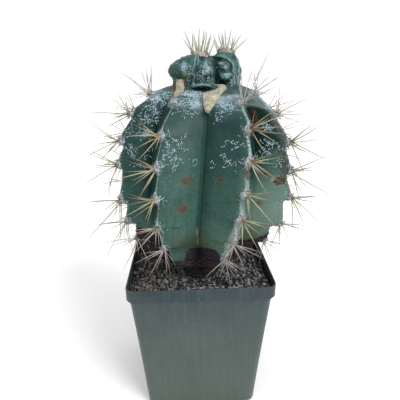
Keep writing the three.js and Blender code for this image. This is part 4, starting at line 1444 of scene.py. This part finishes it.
def spine_age(k, areole, z, rng):
    """0 for a golden spine, 1 for a dried grey one near the base or the top, -1 for a reddish one."""
    if (k, areole) == RUDDY_AREOLE:
        return -rng.uniform(0.6, 1)
    grey = 0.75 if areole == 0 else 0.0
    return float(clamp(max(grey, (72 - z) / 36) + rng.uniform(-0.15, 0.25)))


def add_spine(shape, rng, seat, tip, age, thick):
    """One spine from its seat to a tip. A seat is a root with its outward, upward and sideways vectors."""
    root, out, up, side = seat
    foot = root + up * rng.uniform(-1.6, 1.6) + side * rng.uniform(-0.8, 0.8) - out * 0.9
    length = np.linalg.norm(tip - foot)
    bend = np.cross(unit(tip - foot), rng.normal(size=3)) * length * 0.018
    mark = (age, rng.uniform(-1, 1))
    spine_shape(shape, foot, tip, bend, SPINE_RADIUS * thick * (1 - 0.3 * max(age, 0)), mark, 1)


# Growing bands of the head

BAND_HALF = 3.3
BAND_HEIGHT = 2.9
BAND_ROOT = 1.4
BAND_LIFT = 1.2
BAND_SIDES = 18
BAND_STEPS = 46
BAND_SPINES = 11
BAND_HAIRS = 420
BAND_FLUFF = ((0.5, 1.5, 41), (0.3, 0.7, 42))


def head_top(x, y):
    """Height of the head's skin over points in plan."""
    z = np.arange(200, 155, -0.1)
    x, y = np.atleast_1d(x), np.atleast_1d(y)
    column = np.stack(np.broadcast_arrays(x[:, None], y[:, None], z[None]), -1)
    inside = head_field(column) < 0
    return z[np.argmax(inside, axis=1)]


def make_crown(name, start, end):
    node = f"spines_{name}"
    rng = np.random.default_rng(7 + len(name))
    start, end = np.array(start, float), np.array(end, float)
    t = np.linspace(0, 1, BAND_STEPS)
    along = unit(end - start)
    across = np.array([-along[1], along[0], 0])
    taper = 1 if name == "crown_left" else clamp(0.3 + t)
    size = np.sin(math.pi * clamp(t, 0.03, 0.97)) ** 0.4 * taper
    angle = np.linspace(0, TURN, BAND_SIDES, endpoint=False)
    line = start + (end - start) * t[:, None]
    place = line[:, None] + across[:2] * (BAND_HALF * size[:, None] * np.cos(angle))[..., None]
    base = head_top(place[..., 0].ravel(), place[..., 1].ravel()).reshape(place.shape[:2])
    raised = np.maximum(np.sin(angle), 0) ** 0.8 * BAND_HEIGHT - (np.sin(angle) < 0) * BAND_ROOT
    z = base + size[:, None] * raised - 0.2
    points = np.concatenate([place, z[..., None]], -1)
    bump = layered(points, BAND_FLUFF) * size[:, None]
    points[..., 2] += bump * (np.sin(angle) > -0.1)
    shape = Shape()
    shape.add(points.reshape(-1, 3), tube_faces(len(t), len(angle)), 0)
    up = np.array([0, 0, 1.0])
    side = np.array([*along, 0])
    middle = np.concatenate([line, head_top(line[:, 0], line[:, 1])[:, None]], 1)
    for tip, foot in solid_spines(node):
        way = unit(foot - tip)
        off = np.linalg.norm(np.cross(middle - tip, way), axis=1)
        root = middle[int(np.argmin(off))] + up * BAND_LIFT
        add_spine(shape, rng, (root, up, side * 0.6, across), tip, 0, 1)
    for _ in range(BAND_SPINES):
        root = middle[int(rng.integers(3, BAND_STEPS - 3))] + up * BAND_LIFT
        way = unit(up + side * rng.uniform(-0.5, 0.5) + across * rng.uniform(-0.6, 0.6))
        add_spine(shape, rng, (root, up, side, across), root + way * rng.uniform(8, 14), 0, 0.6)
    count = BAND_HAIRS
    spot = rng.integers(1, BAND_STEPS - 1, count)
    feet = middle[spot] + across * rng.uniform(-2.9, 2.9, count)[:, None]
    feet[:, 2] = head_top(feet[:, 0], feet[:, 1]) + 1.0
    way = unit(up + rng.normal(size=(count, 3)) * 0.5)
    hair_shape(shape, feet, feet + way * rng.uniform(1.5, 3.2, count)[:, None], HAIR_RADIUS, 0)
    piece = shape.build(f"{node}_wool", [CROWN_WOOL, SPINE])
    dress(piece, "spines", node)


# White flecks: tiny tufts of wool on the skin, in scribbles and clusters

FLECK_SIDES = 6
FLECK_SIZES = (0.3, 0.7)
FLECK_SPREAD = 0.55
CHAIN_STEPS = 4
CHAIN_STEP = 1.15
CHAINED_SHARE = 0.6
CHAIN_LASTS = 0.8
LINE_STEP = 0.85
BACK_CLUSTERS = 9


def fleck_shape(shape, places, normals, sizes, rng):
    """Low six-sided tufts, sunk a little into the skin."""
    count = len(places)
    ring = ring_round(normals, FLECK_SIDES, rng.normal(size=(count, 3)))
    reach = sizes[:, None] * rng.uniform(0.65, 1.15, (count, FLECK_SIDES))
    base = places[:, None] + reach[..., None] * ring - normals[:, None] * 0.02
    peak = places + normals * (sizes * 0.75)[:, None]
    root = places - normals * 0.35
    points = np.concatenate([base, peak[:, None], root[:, None]], 1)
    side = np.arange(FLECK_SIDES)
    beside = (side + 1) % FLECK_SIDES
    upper = np.stack([side, beside, np.full(FLECK_SIDES, FLECK_SIDES)], 1)
    lower = np.stack([beside, side, np.full(FLECK_SIDES, FLECK_SIDES + 1)], 1)
    start = np.arange(count)[:, None, None] * (FLECK_SIDES + 2)
    faces = (start + np.concatenate([upper, lower])).reshape(-1, 3)
    shape.add(points.reshape(-1, 3), faces, 0)


def put_flecks(shape, rng, k, along, ring, sizes):
    """Tufts at places on the skin, clear of the scars and the head."""
    z = height_of(clamp(ring, 0, RINGS - 1.2))
    along = clamp(along, 0.03, 1.97)
    k = np.broadcast_to(k, along.shape)
    places = skin(k, along, z)
    keep = (scar_fill(azimuth_of(places), z) < 0.35) & (head_field(places) > 1)
    normals = skin_normal(k, along, z)
    fleck_shape(shape, places[keep], normals[keep], sizes[keep], rng)


def fleck_field(shape, rng, sector, along, ring, wide, tall, count):
    """A cloud of tufts round one place, some of them in short rows."""
    across = rng.normal(0, FLECK_SPREAD, count) * wide
    upward = rng.normal(0, FLECK_SPREAD, count) * tall
    chained = rng.uniform(0, 1, count) < CHAINED_SHARE
    heading = rng.uniform(0, TURN, count)
    for step in range(CHAIN_STEPS):
        keep = chained | (step == 0)
        place = along + across[keep] / face_width(height_of(ring))
        at_ring = ring + upward[keep] / RING_STEP
        sizes = rng.uniform(*FLECK_SIZES, keep.sum())
        put_flecks(shape, rng, sector, place, at_ring, sizes)
        across = across + CHAIN_STEP * np.cos(heading)
        upward = upward + CHAIN_STEP * np.sin(heading)
        heading = heading + rng.normal(0, 0.8, count)
        chained = chained & (rng.uniform(0, 1, count) < CHAIN_LASTS)


def fleck_line(shape, rng, sector, line):
    """Tufts along a scribble, given by places across the sector and rings."""
    line = np.array(line, float)
    width = face_width(height_of(line[:, 1]))
    flat = np.stack([line[:, 0] * width, line[:, 1] * RING_STEP], 1)
    travelled = np.concatenate([[0], np.cumsum(np.linalg.norm(np.diff(flat, axis=0), axis=1))])
    stops = np.arange(0, travelled[-1], LINE_STEP) + rng.uniform(-0.2, 0.2)
    along = np.interp(stops, travelled, line[:, 0]) + rng.normal(0, 0.012, len(stops))
    ring = np.interp(stops, travelled, line[:, 1]) + rng.normal(0, 0.09, len(stops))
    put_flecks(shape, rng, sector, along, ring, rng.uniform(0.3, 0.6, len(stops)))


def head_flecks(shape, rng, x, z, wide, tall, count):
    """Tufts on the head's front, round a sideways place and height."""
    across = x + rng.normal(0, FLECK_SPREAD, count) * wide
    height = z + rng.normal(0, FLECK_SPREAD, count) * tall
    depth = np.arange(-14, 26, 0.2)
    column = np.stack(np.broadcast_arrays(across[:, None], depth[None], height[:, None]), -1)
    inside = head_field(column) < 0
    keep = inside.any(1)
    first = np.argmax(inside, axis=1)
    places = np.stack([across, depth[first], height], -1)[keep]
    step = 0.4
    slope = [head_field(places + step * way) - head_field(places - step * way) for way in np.eye(3)]
    fleck_shape(shape, places, unit(np.stack(slope, -1)), rng.uniform(0.25, 0.5, len(places)), rng)


def fuzz_field(shape, rng, sector, along, ring, wide, tall, count):
    """A soft mat of short hairs round one place."""
    place = along + rng.normal(0, 0.5, count) * wide / face_width(height_of(ring))
    z = height_of(ring + rng.normal(0, 0.5, count) * tall / RING_STEP)
    sector = np.where(place < 0, sector - 1, np.where(place > 2, sector + 1, sector)) % len(RIBS)
    place = place % 2
    feet = skin(sector, place, z)
    normals = skin_normal(sector, place, z)
    keep = head_field(feet) > 1
    way = unit(normals[keep] + 0.9 * rng.normal(size=(keep.sum(), 3)))
    lengths = rng.uniform(1.2, 2.8, (keep.sum(), 1))
    hair_shape(shape, feet[keep], feet[keep] + way * lengths, FUZZ_RADIUS, 0)


def make_flecks():
    rng = np.random.default_rng(11)
    shape = Shape()
    for field in FUZZ_FIELDS:
        fuzz_field(shape, rng, *field)
    for sector, along, ring, wide, tall, count, _ in FLECK_FIELDS:
        fleck_field(shape, rng, sector, along, ring, wide, tall, count)
    for k, areoles in enumerate(AREOLES):
        for ring in areoles:
            count = int(lerp(5, 15, ramp(ring, WORN_RING, 20)))
            fleck_field(shape, rng, k, 0.07, ring, 3.5, 6, count)
            fleck_field(shape, rng, (k - 1) % len(RIBS), 1.93, ring, 3.5, 6, count)
    for sector in BACK_SECTORS:
        for _ in range(BACK_CLUSTERS):
            place = (rng.uniform(0.2, 1.8), 42 - 14 * rng.beta(1, 1.6))
            size = rng.uniform(5, 9, 2)
            fleck_field(shape, rng, sector, *place, *size, int(rng.uniform(14, 46)))
    for sector, line in FLECK_LINES:
        fleck_line(shape, rng, sector, line)
    for cluster in HEAD_FLECKS:
        head_flecks(shape, rng, *cluster)
    piece = shape.build("wool_flecks", [FLECK])
    dress(piece, "spines")


# Soil: a rough bed with loose grains over it

SOIL_SIDES = 240
SOIL_RINGS = 44
RIM_GRAINS = 20
STRAWS = 46
RIM_STRAW_SHARE = 0.2
BED_TOP = SOIL_TOP - 1.6
BED_WAVES = ((1.0, 26, 51), (0.5, 9, 52))
BED_GRAIN = ((0.6, 2.6, 53), (0.3, 1.1, 54))


def square_reach(angle, half, corner):
    """Distance from the middle of a round-cornered square to its edge, at an angle."""
    longer = np.maximum(np.abs(np.cos(angle)), np.abs(np.sin(angle)))
    shorter = np.minimum(np.abs(np.cos(angle)), np.abs(np.sin(angle)))
    straight = half / longer
    along = (half - corner) * (longer + shorter)
    bent = along + np.sqrt(np.maximum(along ** 2 - 2 * (half - corner) ** 2 + corner ** 2, 0))
    return np.where(straight * shorter > half - corner, bent, straight)


def soil_level(x, y):
    """Height of the soil: slow unevenness."""
    points = np.stack([x, y, np.zeros_like(x)], -1)
    return BED_TOP + layered(points, BED_WAVES)


def make_soil():
    edge = RIM_HALF - WALL - 0.3
    round_it = circle(SOIL_SIDES)
    angle = np.arctan2(round_it[:, 1], round_it[:, 0])
    neck_middle = axis_at(SOIL_TOP)
    shape = Shape()
    rings = []
    ledge = WALL - LIP_HEIGHT
    bottom = FLOOR - POT_HEIGHT
    for half, corner, z in (
        (pot_half(bottom) - WALL - 0.4, POT_CORNER - WALL, bottom + 0.3),
        (pot_half(ledge) - WALL - 0.4, POT_CORNER - WALL, ledge - 0.4),
        (pot_half(ledge) - WALL - 0.4, POT_CORNER - WALL, ledge + 0.9),
        (edge, POT_CORNER - WALL + 1, ledge + 1.2),
    ):
        reach = square_reach(angle, half, corner)
        rings.append(np.concatenate([reach[:, None] * round_it, np.full((SOIL_SIDES, 1), z)], 1))
    outer = square_reach(angle, edge, POT_CORNER)[:, None] * round_it
    inner = neck_middle + (NECK_RADIUS - 2.5) * round_it
    for share in np.linspace(0, 1, SOIL_RINGS):
        plan = lerp(outer, inner, share)
        z = soil_level(plan[:, 0], plan[:, 1])
        points = np.concatenate([plan, z[:, None]], 1)
        points[:, 2] += layered(points, BED_GRAIN)
        rings.append(points)
    well = rings[-1].copy()
    well[:, 2] = SOIL_TOP - 12
    rings.append(well)
    points = np.stack(rings)
    shape.add(points.reshape(-1, 3), tube_faces(len(rings), SOIL_SIDES), 0, (0, 0, 0.8))
    bed = shape.build("soil_bed", [GRIT])
    dress(bed, "soil_grit", "soil")


def grain_ball():
    ball = bmesh.new()
    bmesh.ops.create_icosphere(ball, subdivisions=1, radius=1)
    points = np.array([corner.co for corner in ball.verts])
    faces = np.array([[corner.index for corner in face.verts] for face in ball.faces])
    ball.free()
    return points, faces


def make_grains(name, pitch, sizes, layer, seed):
    """Loose grains on a jittered grid inside the pot's rim, round the neck."""
    rng = np.random.default_rng(seed)
    edge = RIM_HALF - WALL
    count = int(2 * edge / pitch)
    cell = np.stack(np.meshgrid(np.arange(count), np.arange(count)), -1).reshape(-1, 2)
    plan = (cell + rng.uniform(0.0, 1.0, cell.shape)) * pitch - edge
    size = rng.uniform(*sizes, len(plan))
    angle = np.arctan2(plan[:, 1], plan[:, 0])
    keep = np.linalg.norm(plan, axis=1) < square_reach(angle, edge - 0.3, POT_CORNER) - size
    keep &= np.linalg.norm(plan - axis_at(SOIL_TOP), axis=1) > NECK_RADIUS - 0.5
    plan, size = plan[keep], size[keep]
    z = soil_level(plan[:, 0], plan[:, 1]) + layer + rng.uniform(-0.5, 0.9, len(plan))
    place = np.concatenate([plan, z[:, None]], 1)
    grains_at(name, place, size, rng)


def make_debris():
    """Stray grains and straw bits on the front of the rim, and dried bits on the soil."""
    rng = np.random.default_rng(71)
    count = RIM_GRAINS
    x = np.concatenate([rng.uniform(-14, 46, count - 5), rng.uniform(-60, -20, 5)])
    y = WALL / 2 - RIM_HALF + rng.uniform(-0.5, 0.9, count)
    size = rng.uniform(0.3, 1.0, count) ** 1.4
    place = np.stack([x, y, size * 0.7], -1)
    grains_at("rim_grains", place, size, rng)
    shape = Shape()
    for _ in range(STRAWS):
        on_rim = rng.uniform() < RIM_STRAW_SHARE
        if on_rim:
            spot = np.array([rng.uniform(-10, 40), WALL - RIM_HALF, 0.6])
        else:
            spot = np.array([rng.uniform(-52, 54), rng.uniform(-56, 50), SOIL_TOP + 1.4])
        if np.linalg.norm(spot[:2] - axis_at(SOIL_TOP)) < NECK_RADIUS + 4:
            continue
        turn = rng.uniform(0, TURN)
        reach = np.array([math.cos(turn), math.sin(turn), 0]) * rng.uniform(3, 8)
        if on_rim:
            reach = np.array([reach[0], abs(reach[1]) * 0.3, 0])
        tip = spot + reach + [0, 0, rng.uniform(-0.3, 1.2)]
        tip[:2] = clamp(tip[:2], 2 - RIM_HALF, RIM_HALF - 3)
        bend = rng.normal(size=3) * [0.6, 0.6, 0.3]
        spine_shape(shape, spot, tip, bend, rng.uniform(0.14, 0.3), (1, rng.uniform(-1, 1)), 0)
    piece = shape.build("dry_straws", [SPINE])
    dress(piece, "soil_grit")


def grains_at(name, place, size, rng):
    """Angular grains at the places, each squashed and turned its own way."""
    ball, faces = grain_ball()
    count = len(place)
    axes = np.linalg.qr(rng.normal(size=(count, 3, 3)))[0]
    squash = rng.uniform(0.55, 1.2, (count, 3))
    lumps = 1 + 0.16 * lattice(np.arange(len(ball))[None], np.arange(count)[:, None], 3, 5)
    points = ball[None] * lumps[..., None] * squash[:, None] * size[:, None, None]
    points = np.einsum("nij,nkj->nki", axes, points) + place[:, None]
    faces = (np.arange(count)[:, None, None] * len(ball) + faces).reshape(-1, 3)
    tan = clamp(0.02 + 0.5 * rough(place, 40, 55) - place[:, 0] / 110 + rng.normal(0, 0.25, count))
    dark = clamp(rng.uniform(-0.6, 0.95, count))
    mark = np.stack([rng.uniform(-1, 1, count), tan * 0.6, dark], -1)
    shape = Shape()
    flip = np.linalg.det(axes) < 0
    order = faces.reshape(count, -1, 3)
    order[flip] = order[flip][:, :, ::-1]
    shape.add(points.reshape(-1, 3), order.reshape(-1, 3), 0, np.repeat(mark, len(ball), axis=0))
    piece = shape.build(name, [GRIT], smooth=False)
    dress(piece, "soil_grit")


# Pot

def pot_half(z):
    """Half width of the pot's outside at a height below the lip."""
    return RIM_HALF - LIP_STEP - TAPER * (-LIP_HEIGHT - z)


def square_ring(half, corner, z, per_corner=10, per_side=8):
    """Points round a square with round corners."""
    ring = []
    for side in range(4):
        turn = side * math.pi / 2
        cos, sin = math.cos(turn), math.sin(turn)
        middle = np.array([(half - corner) * (cos - sin), (half - corner) * (sin + cos)])
        for i in range(per_corner + 1):
            angle = turn + i / per_corner * math.pi / 2
            ring.append([*(middle + corner * np.array([math.cos(angle), math.sin(angle)])), z])
        for i in range(1, per_side):
            share = i / per_side
            reach = (half - corner) * (1 - 2 * share)
            ring.append([-half * sin + reach * cos, half * cos + reach * sin, z])
    return np.array(ring)


def make_pot():
    lip = -LIP_HEIGHT
    ledge = lip + WALL
    bottom = -POT_HEIGHT
    corner = POT_CORNER
    inner = POT_CORNER - WALL
    foot = pot_half(bottom)
    floor = bottom + FLOOR
    walls = np.linspace(bottom + 3, lip - 4, 12)
    outside = [(foot - 1.3, corner - 1, bottom), (foot - 0.5, corner, bottom + 0.25)]
    outside += [(foot, corner, bottom + 1)]
    outside += [(pot_half(z) - 0.35 * math.sin(math.pi * z / bottom), corner, z) for z in walls]
    outside += [(pot_half(lip - 3.6), corner, lip - 3.6), (pot_half(lip - 3.2) + 0.3, corner, lip - 3.2)]
    outside += [(pot_half(lip) + 0.3, corner, lip - 0.3), (pot_half(lip) + 0.6, corner, lip)]
    outside += [(RIM_HALF - 0.5, corner + 1, lip + 0.15), (RIM_HALF - 0.1, corner + 1, lip + 0.5)]
    outside += [(RIM_HALF, corner + 1, lip + 1.2), (RIM_HALF - 0.15, corner + 1, lip + 6)]
    outside += [(RIM_HALF, corner + 1, -3.4), (RIM_HALF - 0.3, corner + 1, -3.0)]
    outside += [(RIM_HALF, corner + 1, -2.6), (RIM_HALF, corner + 1, -0.9)]
    outside += [(RIM_HALF - 0.2, corner + 1, -0.25)]
    outside += [(RIM_HALF - 0.55, corner + 0.8, 0)]
    inside = [(RIM_HALF - WALL + 0.45, inner + 1.2, 0)]
    inside += [(RIM_HALF - WALL + 0.1, inner + 1, -0.3), (RIM_HALF - WALL, inner + 1, -1)]
    inside += [(RIM_HALF - WALL, inner + 1, ledge + 0.8), (pot_half(ledge) - WALL + 0.4, inner, ledge + 0.3)]
    inside += [(pot_half(ledge) - WALL, inner, ledge), (pot_half(floor) - WALL, inner, floor + 0.6)]
    inside += [(pot_half(floor) - WALL - 0.6, inner - 0.6, floor)]
    rings = [square_ring(*step) for step in outside + inside]
    shape = Shape()
    points = np.stack(rings)
    shape.add(points.reshape(-1, 3), tube_faces(len(rings), points.shape[1]), 0)
    pot = shape.build("nursery_pot", [pot_paint()])
    drains = Shape()
    for x in (-DRAIN_PLACE, DRAIN_PLACE):
        for y in (-DRAIN_PLACE, DRAIN_PLACE):
            hole = [x, y] + DRAIN_RADIUS * circle(DRAIN_SIDES)
            ends = [np.insert(hole, 2, z, axis=1) for z in (bottom - DRAIN_RADIUS, floor + DRAIN_RADIUS)]
            drains.add(np.concatenate(ends), tube_faces(2, DRAIN_SIDES))
    combine(pot, drains.build("drains", []), "DIFFERENCE")
    pot.data.set_sharp_from_angle(angle=math.radians(50))
    dress(pot, "pot_plastic", "pot")


# Stage, light and camera

def direction(azimuth, elevation):
    """Unit vector from the object towards an azimuth and elevation in degrees."""
    a, e = math.radians(azimuth), math.radians(elevation)
    return Vector((math.sin(a) * math.cos(e), -math.cos(a) * math.cos(e), math.sin(e)))


def make_stage():
    shape = Shape()
    sides = 96
    rings = []
    for radius, depth in ((9000, 40), (9000, 0), (600, 0), (10, 0)):
        rings.append(np.insert(radius * circle(sides), 2, -POT_HEIGHT - depth, axis=1))
    shape.add(np.concatenate(rings), tube_faces(len(rings), sides), 0)
    floor = shape.build("floor", [stage_paint()], smooth=False)
    world = bpy.data.worlds.new("studio")
    world.use_nodes = True
    sky = world.node_tree.nodes["Background"]
    sky.inputs["Color"].default_value = (1, 1, 1, 1)
    sky.inputs["Strength"].default_value = 1.0
    bpy.context.scene.world = world
    bpy.context.scene.view_settings.view_transform = "Standard"
    add_light("key", 42, 38, 28, 2.0)


def add_light(name, azimuth, elevation, spread, power):
    """An even soft light from one side: angles in degrees."""
    lamp = bpy.data.lights.new(name, "SUN")
    lamp.angle = math.radians(spread)
    lamp.energy = power
    light = bpy.data.objects.new(name, lamp)
    bpy.context.scene.collection.objects.link(light)
    back = direction(azimuth, elevation)
    light.location = CAMERA_TARGET * MM + back
    light.rotation_euler = (-back).to_track_quat("-Z", "Y").to_euler()


def make_camera():
    roll = math.radians(CAMERA_ROLL)
    back = direction(CAMERA_AZIMUTH, CAMERA_ELEVATION)
    right = (-back).cross(Vector((0, 0, 1))).normalized()
    up = right.cross(-back)
    rolled_right = right * math.cos(roll) + up * math.sin(roll)
    rolled_up = up * math.cos(roll) - right * math.sin(roll)
    lens = bpy.data.cameras.new("camera")
    lens.lens = CAMERA_LENS
    lens.sensor_width = 36
    lens.clip_start = 0.01
    lens.clip_end = 50
    camera = bpy.data.objects.new("camera", lens)
    bpy.context.scene.collection.objects.link(camera)
    turn = Matrix((rolled_right, rolled_up, back)).transposed().to_4x4()
    camera.matrix_world = Matrix.Translation((CAMERA_TARGET + back * CAMERA_DISTANCE) * MM) @ turn
    bpy.context.scene.camera = camera


WOOL = wool_paint("wool", (180, 186, 188), (86, 90, 92), 0.25)
CROWN_WOOL = wool_paint("crown_wool", (192, 188, 182), (142, 128, 118), 0.2)
FLECK = wool_paint("fleck", (186, 204, 214), (150, 170, 182))
SPINE = spine_paint()
GRIT = grit_paint()

make_camera()
make_pot()
make_soil()
make_grains("coarse_grains", COARSE_PITCH, COARSE_SIZES, COARSE_LAYER, 61)
make_grains("fine_grains", FINE_PITCH, FINE_SIZES, FINE_LAYER, 62)
make_debris()
make_body()
for rib_number in range(len(RIBS)):
    make_rib(rib_number)
for band in CROWN_BANDS:
    make_crown(*band)
make_flecks()
make_stage()
